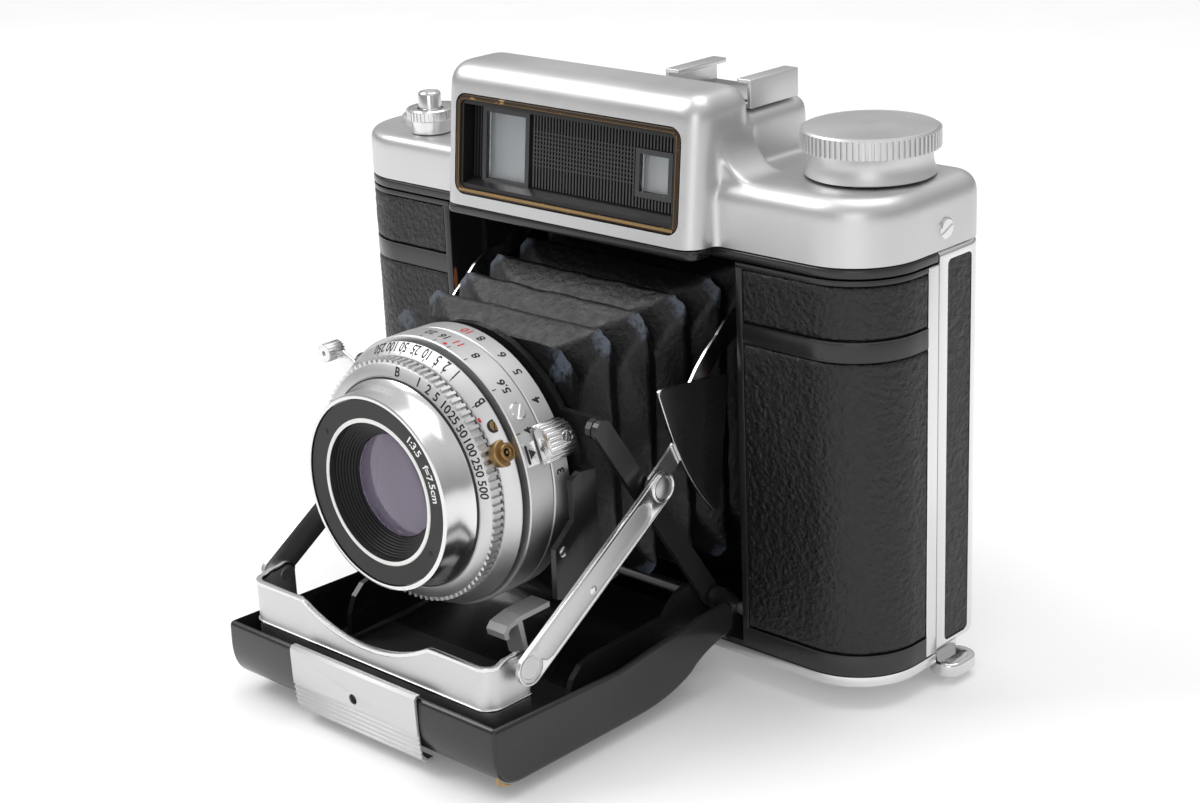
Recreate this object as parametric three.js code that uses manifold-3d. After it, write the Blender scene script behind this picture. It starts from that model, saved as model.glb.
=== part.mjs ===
// Folding camera for 6 x 6 cm roll film, opened for use. Millimetres, +Z up.
// The origin is the middle of the bottom plate's underside. The lens looks along -Y and its axis is X = 0.
import * as THREE from 'three';
import { mergeVertices } from 'three/addons/utils/BufferGeometryUtils.js';
import Module from 'manifold-3d';

const wasm = await Module();
wasm.setup();

// ---------------------------------------------------------------- driving dimensions
const LEATHER = 0.8;          // covering and the recess that holds it
const BODY_HALF = 66;         // half the body's width
const BODY_FRONT = -17;
const BODY_BACK = 17;
const FRONT_RADIUS = 13;      // plan radius of the rounded ends
const BACK_RADIUS = 5;
const SPLIT_Y = 2.5;          // where the back door meets the body
const PLATE_TOP = 1.8;        // bottom plate thickness
const CAST_LOW = 2;
const CAST_TOP = 75.9;
const TRIM = [76.1, 78];      // black plate under the top cover
const COVER_LOW = 78.2;
const LEFT_TOP = 87;
const RIGHT_TOP = 90;
const HOOD_HALF = 32;
const HOOD_FRONT = -23;
const HOOD_BACK = -5;
const HOOD_TOP = 105;
const BLOCK_BACK = 12.5;      // the lower block behind the hood
const BLOCK_TOP = 99.8;
const LEAN = 0.106;           // how far the hood's front leans back for each mm of height
const WINDOW_Z = 89.9;
const OPEN_HALF = 36.4;       // front opening for the bed
const OPEN_LOW = 3;
const CAVITY_HALF = 35.1;
const CAVITY_TOP = 75;
const GATE_Y = 10;            // front of the film gate wall
const GATE_BACK = 12.5;
const GATE_HALF = 28.3;
const SPOOL_X = 51.6;
const SPOOL_Y = 2;
const SPOOL_R = 12.6;
const CHAMBER = [7, 73];      // bottom and top of the spool chambers
const BUSH = [-46, 0];        // tripod bush
const RELEASE = [-48, -9.5];
const COUNTER = [-55.5, -1];
const SCREW = [4.1, 81.9];    // (Y, Z) of the screw in the cover's right end
const LENS_Z = 41.2;
const LENS_FRONT = -72;       // plane of the name ring
const FINDER = [-22.5, -12.2, -6.3, 6.3];  // large window in the mask: x0, x1, z0, z1
const RANGE = [16.4, 23.2, -3.2, 3.2];     // small window
const KNOB_BAND = [95.1, 98.7];            // knurled rim of the advance knob
const LOWER_BAND = [-4.3, -0.8];           // knurled rim of the lower knob
const COLLAR_BAND = [89.8, 91.7];          // knurled rim of the release collar
const BUTTON_TOP = 95.2;
const DIAL_TOP = 88.7;                     // face of the frame counter
const DOOR_LEATHER = [5.2, 12, 3.6, 75.8]; // leather on the door's ends: y0, y1, z0, z1
const BELLOWS = { front: -44.7, folds: 6, depth: 2.8, small: [22.3, 23], growth: [5.2, 7.4] };
const SYNC_TURN = THREE.MathUtils.degToRad(23);    // angles round the lens, from +X upward
const KNOB_TURN = THREE.MathUtils.degToRad(21);
const LEVER_TURN = THREE.MathUtils.degToRad(139.6);
const BED_PIVOT = [-13.5, 7.4];      // (Y, Z) of the bed hinge
const STRUT_PIVOT = [-69.6, 16.8];   // lower strut on the bed
const ELBOW = [-35, 38.6];           // where strut and upper link meet in the open pose
const LINK_PIVOT = [2, 70];          // upper link on the body
const ARM_PIVOT = [-19.2, 11.5];     // erecting arm on the body
const ARM_HEAD = [-46.5, 52];        // erecting arm on the standard
const PIN = 1.2;              // radius of the folding linkage's pins
const HOLE = 1.5;             // radius of the holes they turn in
const HEAD = [0.95, 1.25];    // pin and hole where the erecting arms meet the standard
const BACK_PIVOT = [SPLIT_Y, -67.1]; // (Y, X) of the back door's hinge
const BED_HALF = 35.3;
const BED_WALL = 0.8;
// Distances from the middle plane of the layers of the folding linkage, inside to outside.
const RAIL = [28.2, 29.4];
const ARM = [30, 31.2];
const LUG = [31.6, 32.9];
const LINK = [31.7, 32.2];
const FAN = [32.35, 32.8];
const STRUT = [33.1, 34];

// ---------------------------------------------------------------- materials
function material(color, roughness, metalness, opacity = 1) {
  return new THREE.MeshStandardMaterial({
    color, roughness, metalness, opacity, transparent: opacity < 1,
  });
}

const looks = {
  satin: () => material(0xd2d4d6, 0.35, 0.9),
  chrome: () => material(0xdfe1e3, 0.15, 1),
  black: () => material(0x1b1c1e, 0.35, 0.2),
  leather: () => material(0x202124, 0.8, 0),
  cloth: () => material(0x17181a, 0.7, 0),
  brass: () => material(0xb08a45, 0.3, 1),
  glass: () => material(0x8f93a8, 0.05, 0, 0.4),
  steel: () => material(0xa8abae, 0.4, 0.9),
};

// ---------------------------------------------------------------- solids from three.js geometry
function trianglesOf(geometry) {
  const bare = geometry.clone();
  for (const name of Object.keys(bare.attributes)) {
    if (name !== 'position') bare.deleteAttribute(name);
  }
  const merged = mergeVertices(bare, 1e-4);
  const points = merged.attributes.position.array;
  const triangles = [];
  for (let i = 0; i < merged.index.count; i += 3) {
    const [a, b, c] = merged.index.array.slice(i, i + 3);
    if (a !== b && b !== c && c !== a) triangles.push([a, b, c]);
  }
  return { points, triangles };
}

function signedVolume(points, triangles) {
  const [p, q, r] = [new THREE.Vector3(), new THREE.Vector3(), new THREE.Vector3()];
  let total = 0;
  for (const [a, b, c] of triangles) {
    p.fromArray(points, 3 * a);
    q.fromArray(points, 3 * b);
    r.fromArray(points, 3 * c);
    total += p.dot(q.cross(r));
  }
  return total;
}

function solid(geometry) {
  const { points, triangles } = trianglesOf(geometry);
  const inward = signedVolume(points, triangles) < 0;
  const order = inward ? triangles.map(([a, b, c]) => [a, c, b]) : triangles;
  return new wasm.Manifold(new wasm.Mesh({
    numProp: 3,
    vertProperties: new Float32Array(points),
    triVerts: new Uint32Array(order.flat()),
  }));
}

function geometryOf(body) {
  const mesh = body.getMesh();
  const geometry = new THREE.BufferGeometry();
  geometry.setAttribute('position', new THREE.BufferAttribute(new Float32Array(mesh.vertProperties), 3));
  geometry.setIndex(new THREE.BufferAttribute(new Uint32Array(mesh.triVerts), 1));
  geometry.computeVertexNormals();
  return geometry;
}

function join(first, ...others) {
  return others.reduce((whole, piece) => whole.add(piece), first);
}

function cut(whole, ...tools) {
  return tools.reduce((rest, tool) => rest.subtract(tool), whole);
}

function box(x0, x1, y0, y1, z0, z1) {
  const geometry = new THREE.BoxGeometry(x1 - x0, y1 - y0, z1 - z0);
  return solid(geometry.translate((x0 + x1) / 2, (y0 + y1) / 2, (z0 + z1) / 2));
}

// A box on one side of the middle plane; inner and outer are distances from it.
function sideBox(side, inner, outer, y0, y1, z0, z1) {
  const [x0, x1] = side > 0 ? [inner, outer] : [-outer, -inner];
  return box(x0, x1, y0, y1, z0, z1);
}

function polygon(points) {
  return new THREE.Shape(points.map(([a, b]) => new THREE.Vector2(a, b)));
}

function roundedRect(a0, a1, b0, b1, radius) {
  const shape = new THREE.Shape();
  shape.absarc(a1 - radius, b0 + radius, radius, -Math.PI / 2, 0, false);
  shape.absarc(a1 - radius, b1 - radius, radius, 0, Math.PI / 2, false);
  shape.absarc(a0 + radius, b1 - radius, radius, Math.PI / 2, Math.PI, false);
  shape.absarc(a0 + radius, b0 + radius, radius, Math.PI, 1.5 * Math.PI, false);
  shape.closePath();
  return shape;
}

function extruded(shape, depth, curveSegments) {
  return new THREE.ExtrudeGeometry(shape, { depth, bevelEnabled: false, curveSegments });
}

// Shape in (X, Y), raised along Z.
function upright(shape, z0, z1, curveSegments = 6) {
  return solid(extruded(shape, z1 - z0, curveSegments).translate(0, 0, z0));
}

// Shape in (X, Y) with its top edge rounded; the lower rounding falls below z0 and is cut away.
function domed(shape, z0, z1, radius, curveSegments = 6) {
  const geometry = new THREE.ExtrudeGeometry(shape, {
    depth: z1 - z0 - radius, bevelThickness: radius, bevelSize: radius, bevelOffset: -radius,
    bevelSegments: 2, curveSegments,
  });
  const raised = solid(geometry.translate(0, 0, z0));
  return cut(raised, box(-90, 90, -60, 60, z0 - 2 * radius, z0));
}

// Shape in (Y, Z), spread along X between the two distances on one side.
function sidePlate(side, shape, inner, outer, curveSegments = 4) {
  const along = new THREE.Matrix4().makeBasis(
    new THREE.Vector3(0, 1, 0), new THREE.Vector3(0, 0, 1), new THREE.Vector3(1, 0, 0));
  const x0 = side > 0 ? inner : -outer;
  return solid(extruded(shape, outer - inner, curveSegments).applyMatrix4(along).translate(x0, 0, 0));
}

// Shape in (X, Z), spread from yFront back to yBack.
function frontPlate(shape, yFront, yBack, curveSegments = 6) {
  const along = new THREE.Matrix4().makeBasis(
    new THREE.Vector3(1, 0, 0), new THREE.Vector3(0, 0, 1), new THREE.Vector3(0, -1, 0));
  return solid(extruded(shape, yBack - yFront, curveSegments).applyMatrix4(along).translate(0, yBack, 0));
}

// Turned piece about a vertical axis at (x, y); profile points are (radius, z).
function turned(profile, x, y, segments = 24) {
  const points = profile.map(([r, z]) => new THREE.Vector2(r, z));
  return solid(new THREE.LatheGeometry(points, segments).rotateX(Math.PI / 2).translate(x, y, 0));
}

// Turned piece about the lens axis; profile points are (radius, distance behind the name ring).
function lensTurned(profile, segments = 28) {
  const points = profile.map(([r, back]) => new THREE.Vector2(r, LENS_FRONT + back));
  return solid(new THREE.LatheGeometry(points, segments).translate(0, 0, LENS_Z));
}

// Closed ring profile: four corners of a tube, repeated at the end.
function tube(inner, outer, a, b) {
  return [[inner, a], [outer, a], [outer, b], [inner, b], [inner, a]];
}

function pinX(x0, x1, [y, z], radius, segments = 10) {
  const geometry = new THREE.CylinderGeometry(radius, radius, x1 - x0, segments);
  return solid(geometry.rotateZ(Math.PI / 2).translate((x0 + x1) / 2, y, z));
}

function sidePin(side, inner, outer, at, radius, segments = 10) {
  const [x0, x1] = side > 0 ? [inner, outer] : [-outer, -inner];
  return pinX(x0, x1, at, radius, segments);
}

function pinZ(x, y, z0, z1, radius, segments = 14) {
  const geometry = new THREE.CylinderGeometry(radius, radius, z1 - z0, segments);
  return solid(geometry.rotateX(Math.PI / 2).translate(x, y, (z0 + z1) / 2));
}

function pinY(x, y0, y1, z, radius, segments = 24) {
  const geometry = new THREE.CylinderGeometry(radius, radius, y1 - y0, segments);
  return solid(geometry.translate(x, (y0 + y1) / 2, z));
}

// Slot-shaped plate between two (Y, Z) points.
function linkShape([y0, z0], [y1, z1], radius) {
  const turn = Math.atan2(z1 - z0, y1 - y0);
  const shape = new THREE.Shape();
  shape.absarc(y1, z1, radius, turn - Math.PI / 2, turn + Math.PI / 2, false);
  shape.absarc(y0, z0, radius, turn + Math.PI / 2, turn + 1.5 * Math.PI, false);
  shape.closePath();
  return shape;
}

// Narrow grooves round an edge, so that the rim reads as knurled.
function knurledRim(centre, radius, depth, z0, z1, count) {
  const shape = new THREE.Shape();
  for (let i = 0; i < count; i += 1) {
    const turn = (2 * Math.PI * i) / count;
    const half = Math.PI / count;
    const points = [[radius, 0], [radius, 0.9 * half], [radius - depth, half], [radius - depth, 1.9 * half]];
    for (const [r, step] of points) {
      const x = centre[0] + r * Math.cos(turn + step);
      const y = centre[1] + r * Math.sin(turn + step);
      if (i === 0 && step === 0) shape.moveTo(x, y);
      else shape.lineTo(x, y);
    }
  }
  shape.closePath();
  return upright(shape, z0, z1);
}

// ---------------------------------------------------------------- assembly
const camera = new THREE.Group();

function place(name, body, look, parent = camera) {
  const mesh = new THREE.Mesh(geometryOf(body), looks[look]());
  mesh.name = name;
  parent.add(mesh);
  return mesh;
}

// ---------------------------------------------------------------- body shell
// Plan outline of the body, drawn in by inset and ending at yBack with rounded or square corners.
function outline(inset, yBack, backRadius = 0) {
  const half = BODY_HALF - inset;
  const front = BODY_FRONT + inset;
  const round = FRONT_RADIUS - inset;
  const shape = new THREE.Shape();
  shape.absarc(half - round, front + round, round, -Math.PI / 2, 0, false);
  if (backRadius > 0) {
    shape.absarc(half - backRadius, yBack - backRadius, backRadius, 0, Math.PI / 2, false);
    shape.absarc(-half + backRadius, yBack - backRadius, backRadius, Math.PI / 2, Math.PI, false);
  } else {
    shape.lineTo(half, yBack);
    shape.lineTo(-half, yBack);
  }
  shape.absarc(-half + round, front + round, round, Math.PI, 1.5 * Math.PI, false);
  shape.closePath();
  return shape;
}

function spoolChamber(side) {
  const [low, top] = CHAMBER;
  const well = pinZ(side * SPOOL_X, SPOOL_Y, low, top, SPOOL_R + 0.3, 24);
  return join(well, sideBox(side, SPOOL_X - 12, 70, SPOOL_Y, GATE_BACK + 1, low, top));
}

// Rounded ear at the foot of the opening that carries an erecting arm on its pin.
function bodyLug(side) {
  const [y, z] = ARM_PIVOT;
  const shape = new THREE.Shape();
  shape.moveTo(-9, 2.4);
  shape.lineTo(-9, 5);
  shape.absarc(y, z, 2, 0.7, Math.PI + 0.4, false);
  shape.lineTo(-17.5, 2.4);
  shape.closePath();
  return join(sidePlate(side, shape, ...LUG), sidePin(side, 29.9, 31.8, ARM_PIVOT, PIN));
}

function bodyCasting() {
  const shell = upright(outline(LEATHER, SPLIT_Y - 0.2), CAST_LOW, CAST_TOP, 6);
  const rear = box(-61.6, 61.6, 0, GATE_BACK, CAST_LOW, CAST_TOP);
  const bands = [[CAST_LOW, 6], [61.3, 65], [75, CAST_TOP]].map(
    ([z0, z1]) => upright(outline(0, -0.8), z0, z1, 6));
  const edges = [-1, 1].map((side) => sideBox(side, 35, 37.9, BODY_FRONT, -15, CAST_LOW, CAST_TOP));
  const slots = [-1, 1].map((side) => sidePin(side, 34.5, 36.6, LINK_PIVOT, HOLE));
  const hollow = cut(
    join(shell, rear, ...bands, ...edges),
    box(-OPEN_HALF, OPEN_HALF, -18, -8.5, OPEN_LOW, CAST_TOP + 1),
    box(-CAVITY_HALF, CAVITY_HALF, -9, GATE_Y, OPEN_LOW, CAVITY_TOP),
    box(-GATE_HALF, GATE_HALF, GATE_Y - 1, GATE_BACK + 1, LENS_Z - GATE_HALF, LENS_Z + GATE_HALF),
    spoolChamber(1),
    spoolChamber(-1),
    pinZ(SPOOL_X, SPOOL_Y, 0, CHAMBER[0] + 1, 2.6),
    pinZ(SPOOL_X, SPOOL_Y, CHAMBER[1] - 1, 77, 2.9),
    pinZ(...BUSH, 0, 4.5, 6.3, 24),
    ...slots);
  return cut(join(hollow, bodyLug(1), bodyLug(-1)), pinX(-37, 37, BED_PIVOT, HOLE));
}

// Covering between two heights on one end of the body, from the opening's edge round to the bright strip.
function leatherPanel(side, z0, z1) {
  const outer = upright(outline(0.1, -1), z0, z1, 6);
  const inner = upright(outline(LEATHER - 0.05, 0), z0 - 1, z1 + 1, 6);
  return cut(outer, inner).intersect(sideBox(side, 38.1, 70, -20, -1.1, z0, z1));
}

function sideTrim(side) {
  return sideBox(side, BODY_HALF - LEATHER + 0.1, BODY_HALF, -0.6, SPLIT_Y - 0.2, CAST_LOW, CAST_TOP);
}

function bottomPlate() {
  const rear = upright(roundedRect(-62, 62, 0, BODY_BACK - 0.2, 4), 0, PLATE_TOP, 4);
  return cut(
    join(upright(outline(0, SPLIT_Y - 0.2), 0, PLATE_TOP, 6), rear),
    pinZ(SPOOL_X, SPOOL_Y, -1, 3, 9.6, 32),
    pinZ(...BUSH, -1, 3, 6.3, 24));
}

function tripodBush() {
  return turned(tube(4.5, 6, 0, 4.2), ...BUSH, 24);
}

// ---------------------------------------------------------------- top cover
function topTrim() {
  const plate = upright(outline(0, SPLIT_Y - 0.2), ...TRIM, 6);
  const brow = box(-31.4, 31.4, HOOD_FRONT + 0.4, BODY_FRONT + 1, ...TRIM);
  return cut(join(plate, brow), pinZ(SPOOL_X, SPOOL_Y, 70, 80, 2.9));
}

function leanBack(geometry, zFoot, yLimit, slope) {
  const points = geometry.attributes.position;
  for (let i = 0; i < points.count; i += 1) {
    const front = points.getY(i) < yLimit;
    if (front) points.setY(i, points.getY(i) + slope * (points.getZ(i) - zFoot));
  }
  return geometry;
}

function hood() {
  const radius = 4.5;
  const shape = roundedRect(-HOOD_HALF, HOOD_HALF, HOOD_FRONT, HOOD_BACK, radius + 0.3);
  const geometry = new THREE.ExtrudeGeometry(shape, {
    depth: HOOD_TOP - COVER_LOW - radius, bevelThickness: radius, bevelSize: radius, bevelOffset: -radius,
    bevelSegments: 3, curveSegments: 3,
  });
  geometry.translate(0, 0, COVER_LOW);
  const raised = solid(leanBack(geometry, COVER_LOW, -12, LEAN));
  return cut(raised, box(-90, 90, -60, 60, COVER_LOW - 12, COVER_LOW));
}

// The hood's right side runs out to the shoulder in a hollow curve.
function hoodFlare() {
  const shape = new THREE.Shape();
  shape.moveTo(30, COVER_LOW);
  shape.lineTo(39, COVER_LOW);
  shape.lineTo(39.5, RIGHT_TOP - 0.2);
  shape.absarc(39.5, 97.4, 7.6, 1.5 * Math.PI, Math.PI, true);
  shape.lineTo(30, 97.4);
  shape.closePath();
  return frontPlate(shape, BODY_FRONT + 1.2, HOOD_BACK - 1, 6);
}

function shoulder(side, top, radius) {
  const whole = domed(outline(0, BODY_BACK, BACK_RADIUS), COVER_LOW, top, radius, 5);
  return whole.intersect(sideBox(side, 0, 70, -20, 20, COVER_LOW, top));
}

function rearBlock() {
  return domed(roundedRect(-31, 31, HOOD_BACK - 3, BLOCK_BACK, 3.3), COVER_LOW, BLOCK_TOP, 3, 4);
}

function windowMatrix() {
  const turn = new THREE.Matrix4().makeRotationX(-Math.atan(LEAN));
  const face = HOOD_FRONT + LEAN * (WINDOW_Z - COVER_LOW);
  return new THREE.Matrix4().makeTranslation(0, face, WINDOW_Z).multiply(turn);
}

// Shape in the window's own plane (X, Z about its middle), spread from y0 back to y1.
function windowPlate(shape, y0, y1) {
  return frontPlate(shape, y0, y1, 4);
}

function windowCutter() {
  const opening = extruded(roundedRect(-28.3, 28.3, -9.7, 9.7, 2.6), 12, 4);
  const along = new THREE.Matrix4().makeBasis(
    new THREE.Vector3(1, 0, 0), new THREE.Vector3(0, 0, 1), new THREE.Vector3(0, -1, 0));
  return solid(opening.applyMatrix4(along).translate(0, 5.2, 0).applyMatrix4(windowMatrix()));
}

function topCover() {
  const whole = join(
    shoulder(-1, LEFT_TOP, 1.6),
    shoulder(1, RIGHT_TOP, 3),
    hood(),
    hoodFlare(),
    rearBlock(),
    turned([[0, 86], [7, 86], [7, 88.4], [6.2, 88.4], [6.2, 89.5], [0, 89.5]], ...COUNTER, 24));
  return cut(
    whole,
    upright(outline(1.6, BODY_BACK - 1.6, 3.5), COVER_LOW - 1, LEFT_TOP - 1.6, 3),
    upright(roundedRect(-29.5, 29.5, -18, HOOD_BACK - 1.6, 3), COVER_LOW - 1, HOOD_TOP - 4, 1),
    upright(roundedRect(-29.4, 29.4, HOOD_BACK - 3, BLOCK_BACK - 1.6, 2), COVER_LOW - 1, BLOCK_TOP - 1.6, 1),
    windowCutter(),
    pinZ(SPOOL_X, SPOOL_Y, 76, 95, 2.9),
    pinZ(...RELEASE, 76, 90, 2.3),
    pinZ(...COUNTER, 87.7, 90, 5.5, 24),
    pinZ(...COUNTER, 84, 88, 1.5, 12),
    pinX(62, 68, SCREW, 0.9, 12),
    pinY(-17, BLOCK_BACK - 3, BLOCK_BACK + 1, 92, 4.1));
}

// Slotted screw that holds the cover's right end.
function coverScrew() {
  const head = pinX(BODY_HALF, BODY_HALF + 0.5, SCREW, 1.9, 20);
  const shank = pinX(BODY_HALF - 2.4, BODY_HALF + 0.2, SCREW, 0.7, 12);
  return cut(join(head, shank), box(BODY_HALF + 0.2, BODY_HALF + 1, 2, 6.2, SCREW[1] - 0.3, SCREW[1] + 0.3));
}

function eyepiece() {
  const profile = [[2.6, 9.6], [3.8, 9.6], [3.8, BLOCK_BACK + 0.3], [5, BLOCK_BACK + 0.3], [4.6, 14.2],
    [2.6, 14.2], [2.6, 9.6]];
  const points = profile.map(([r, y]) => new THREE.Vector2(r, y));
  return solid(new THREE.LatheGeometry(points, 24).translate(-17, 0, 92));
}

function accessoryShoe() {
  const [x0, x1, low, top] = [10.5, 30.5, BLOCK_TOP + 0.2, 105.2];
  const channel = polygon([[x0, low], [x1, low], [x1, top], [x1 - 3.2, top], [x1 - 3.2, top - 0.9],
    [x1 - 0.9, top - 0.9], [x1 - 0.9, low + 0.9], [x0 + 0.9, low + 0.9], [x0 + 0.9, top - 0.9],
    [x0 + 3.2, top - 0.9], [x0 + 3.2, top], [x0, top]]);
  return frontPlate(channel, HOOD_BACK + 0.3, 8.8);
}

// ---------------------------------------------------------------- finder window
function windowFrame() {
  const ring = windowPlate(roundedRect(-28, 28, -9.4, 9.4, 2.3), 0.2, 1.6);
  return cut(ring, windowPlate(roundedRect(-27.1, 27.1, -8.5, 8.5, 1.6), 0, 2));
}

function windowMask() {
  const tray = windowPlate(roundedRect(-26.9, 26.9, -8.3, 8.3, 1.4), 0.5, 4.4);
  const hollow = windowPlate(roundedRect(-25.6, 25.6, -7.2, 7.2, 1), 0, 3.4);
  const holes = [FINDER, RANGE].map(([x0, x1, z0, z1]) => box(x0, x1, 2, 6, z0, z1));
  return cut(tray, hollow, ...holes);
}

function windowPane([x0, x1, z0, z1]) {
  return box(x0 + 0.2, x1 - 0.2, 3.5, 4.2, z0 + 0.2, z1 - 0.2);
}

// ---------------------------------------------------------------- controls
// The advance knob and its shaft, which turns the take-up spool.
function advanceKnob() {
  const [low, top] = KNOB_BAND;
  const foot = RIGHT_TOP + 0.4;
  const rim = knurledRim([SPOOL_X, SPOOL_Y], 12.35, 0.35, low, top - 0.5, 30);
  const end = CHAMBER[1] - 0.6;
  const body = turned([[0, end], [2.5, end], [2.5, foot], [11.6, foot], [11, foot + 2], [11.2, low + 0.1],
    [11.9, low + 0.1], [11.9, top - 0.3], [11.4, top], [0, top]], SPOOL_X, SPOOL_Y, 20);
  return join(body, rim);
}

// Flanged spool; the fill is the radius of the core, or of the film wound on it.
function filmSpool(side, fill) {
  const [low, top] = [CHAMBER[0] + 0.3, CHAMBER[1] - 0.9];
  return turned([[0, low], [SPOOL_R, low], [SPOOL_R, low + 1], [fill, low + 1], [fill, top - 1],
    [SPOOL_R, top - 1], [SPOOL_R, top], [0, top]], side * SPOOL_X, SPOOL_Y, 20);
}

// The lower knob pulls out to free a spool.
function bottomKnob() {
  const [low, top] = LOWER_BAND;
  const end = CHAMBER[0] - 0.1;
  const rim = knurledRim([SPOOL_X, SPOOL_Y], 9.2, 0.35, low, top, 20);
  const stem = turned([[0, low - 0.3], [8.4, low - 0.3], [8.8, low], [8.8, top + 0.3], [2.2, top + 0.3],
    [2.2, end], [0, end]], SPOOL_X, SPOOL_Y, 18);
  return join(rim, stem);
}

function releaseCollar() {
  const [low, top] = COLLAR_BAND;
  const foot = LEFT_TOP + 0.2;
  const rim = knurledRim(RELEASE, 4.65, 0.3, low, top, 12);
  const neck = turned([[2.6, foot], [3.9, foot], [3.9, low + 0.1], [4.4, low + 0.1], [4.4, top + 0.2],
    [2.6, top + 0.2], [2.6, foot]], ...RELEASE, 16);
  return cut(join(rim, neck), pinZ(...RELEASE, foot - 1, top + 1, 2.6, 16));
}

function releaseButton() {
  const [foot, step] = [80, 90];
  return turned([[0, foot], [1.5, foot], [1.5, step], [2.2, step], [2.2, BUTTON_TOP - 0.5], [1.9, BUTTON_TOP],
    [1.2, BUTTON_TOP], [0, BUTTON_TOP - 0.8]], ...RELEASE, 20);
}

function counterDial() {
  const [foot, rim] = [DIAL_TOP - 2.9, DIAL_TOP - 0.7];
  return turned([[0, foot], [1.2, foot], [1.2, rim], [5.2, rim], [5.2, DIAL_TOP], [0, DIAL_TOP]],
    ...COUNTER, 24);
}

// ---------------------------------------------------------------- back door
function backDoor() {
  const [low, top] = [CAST_LOW + 0.1, TRIM[1] - 0.1];
  const outer = upright(outline(0, BODY_BACK, BACK_RADIUS), low, top, 6);
  const inner = upright(outline(1.4, BODY_BACK - 1.4, 3.6), low - 1, top + 1, 6);
  const [y0, y1, z0, z1] = DOOR_LEATHER;
  const recesses = [-1, 1].map((side) => sideBox(side, 65.2, 67, y0 - 0.2, y1 + 0.2, z0 - 0.2, z1 + 0.2));
  return cut(
    cut(outer, inner).intersect(box(-70, 70, SPLIT_Y, 20, 0, 80)),
    box(-57, 57, 16.3, 18, 6, 73),
    ...recesses);
}

function backLeather() {
  return box(-56.8, 56.8, 16.4, BODY_BACK, 6.2, 72.8);
}

function doorLeather(side) {
  return sideBox(side, 65.3, 65.9, ...DOOR_LEATHER);
}

function pressurePlate() {
  return frontPlate(roundedRect(-30, 30, LENS_Z - 30, LENS_Z + 30, 3), GATE_BACK + 0.3, GATE_BACK + 1.1);
}

// Pull lip at the free end of the back, hooked up behind the door's wall.
function backLatch() {
  const lip = roundedRect(62.4, 69, 3.4, 12.6, 3);
  const tongue = box(62.6, 64.3, 5, 11, -2, 6);
  return cut(join(upright(lip, -3.4, -0.6, 6), tongue), box(66, 67, 5, 11, -5, 0));
}

function backHingePin() {
  const [y, x] = BACK_PIVOT;
  return pinZ(x, y, 4, 74, 0.8, 14);
}

// ---------------------------------------------------------------- bed
// The fold-down front: a shallow tray with a stepped, rising rear floor slotted for the arms and lugs.
function bedDoor() {
  const outer = polygon([[-80.2, 9.8], [-80, 4], [-79.5, -1], [-78.6, -2], [-45, -2], [-36, -1.4], [-30, 1],
    [-26.6, 4], [-19.7, 4.9], [-18, 5.3], [-17.8, 8.6], [-19.5, 11.5], [-27.8, 11.3], [-49.4, 8.9]]);
  const inner = polygon([[-79.4, 30], [-79.2, 4], [-78.3, -1.2], [-45, -1.2], [-36, -0.6], [-30, 1.8],
    [-26.8, 4.8], [-19.7, 5.7], [-10, 7.6], [-10, 30]]);
  const tray = cut(sidePlate(1, outer, -BED_HALF, BED_HALF), sidePlate(1, inner, -BED_HALF + BED_WALL,
    BED_HALF - BED_WALL));
  const slots = [-1, 1].map((side) => sideBox(side, 29.5, 33.3, -27, -15, 1, 9));
  return cut(tray, ...slots);
}

function latchPlate() {
  const face = polygon([[-81, 9.6], [-80.8, 4], [-80.3, -1.2], [-79.2, -2.8], [-77.5, -2.8], [-77.5, -2.2],
    [-78.8, -2.2], [-79.9, -1], [-80.35, 4], [-80.45, 9.6]]);
  return cut(sidePlate(1, face, -16.5, 16.5), pinY(0, -84, -79.5, 4.2, 1, 16));
}

// Bright bracket across the front of the bed that carries the struts.
function frontBracket() {
  const [low, top, dip] = [-1, 18.4, 13.8];
  const [y, z] = STRUT_PIVOT;
  const half = ARM[1];
  const shape = new THREE.Shape();
  shape.moveTo(-half, low);
  shape.lineTo(half, low);
  shape.absarc(half - 3, top - 3, 3, 0, Math.PI / 2, false);
  shape.lineTo(16.7, top);
  shape.quadraticCurveTo(9, dip, 0, dip);
  shape.quadraticCurveTo(-9, dip, -16.7, top);
  shape.absarc(-half + 3, top - 3, 3, Math.PI / 2, Math.PI, false);
  shape.closePath();
  const front = frontPlate(shape, -77.3, -76.4, 5);
  const side = new THREE.Shape();
  side.moveTo(-77, low);
  side.lineTo(-67, low);
  side.absarc(y, z, 2.5, -0.3, Math.PI / 2, false);
  side.lineTo(-77, top);
  side.closePath();
  const cheeks = [-1, 1].map((hand) => cut(
    sidePlate(hand, side, ...ARM), sidePin(hand, 29, 33, STRUT_PIVOT, HOLE)));
  return join(front, ...cheeks);
}

function bedHingePin() {
  return pinX(-36.7, 36.7, BED_PIVOT, PIN, 14);
}

// Side rail of the bed, which ends in its hinge eye.
function bedRail(side) {
  const [y, z] = BED_PIVOT;
  const shape = new THREE.Shape();
  shape.moveTo(-57, 0);
  shape.lineTo(-38, 0.6);
  shape.lineTo(-30.4, 3.4);
  shape.lineTo(-26.6, 6.2);
  shape.lineTo(-18.4, 7);
  shape.lineTo(-16.6, 6.8);
  shape.absarc(y, z, 2.8, -2.2, 1.6, false);
  shape.lineTo(-18.6, 13.1);
  shape.quadraticCurveTo(-21.5, 14.6, -25, 14.6);
  shape.quadraticCurveTo(-28, 14, -30.8, 10.7);
  shape.lineTo(-49.7, 10.3);
  shape.quadraticCurveTo(-57, 10, -57, 0);
  return cut(sidePlate(side, shape, ...RAIL), sidePin(side, 27, 30.5, BED_PIVOT, HOLE));
}

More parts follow.
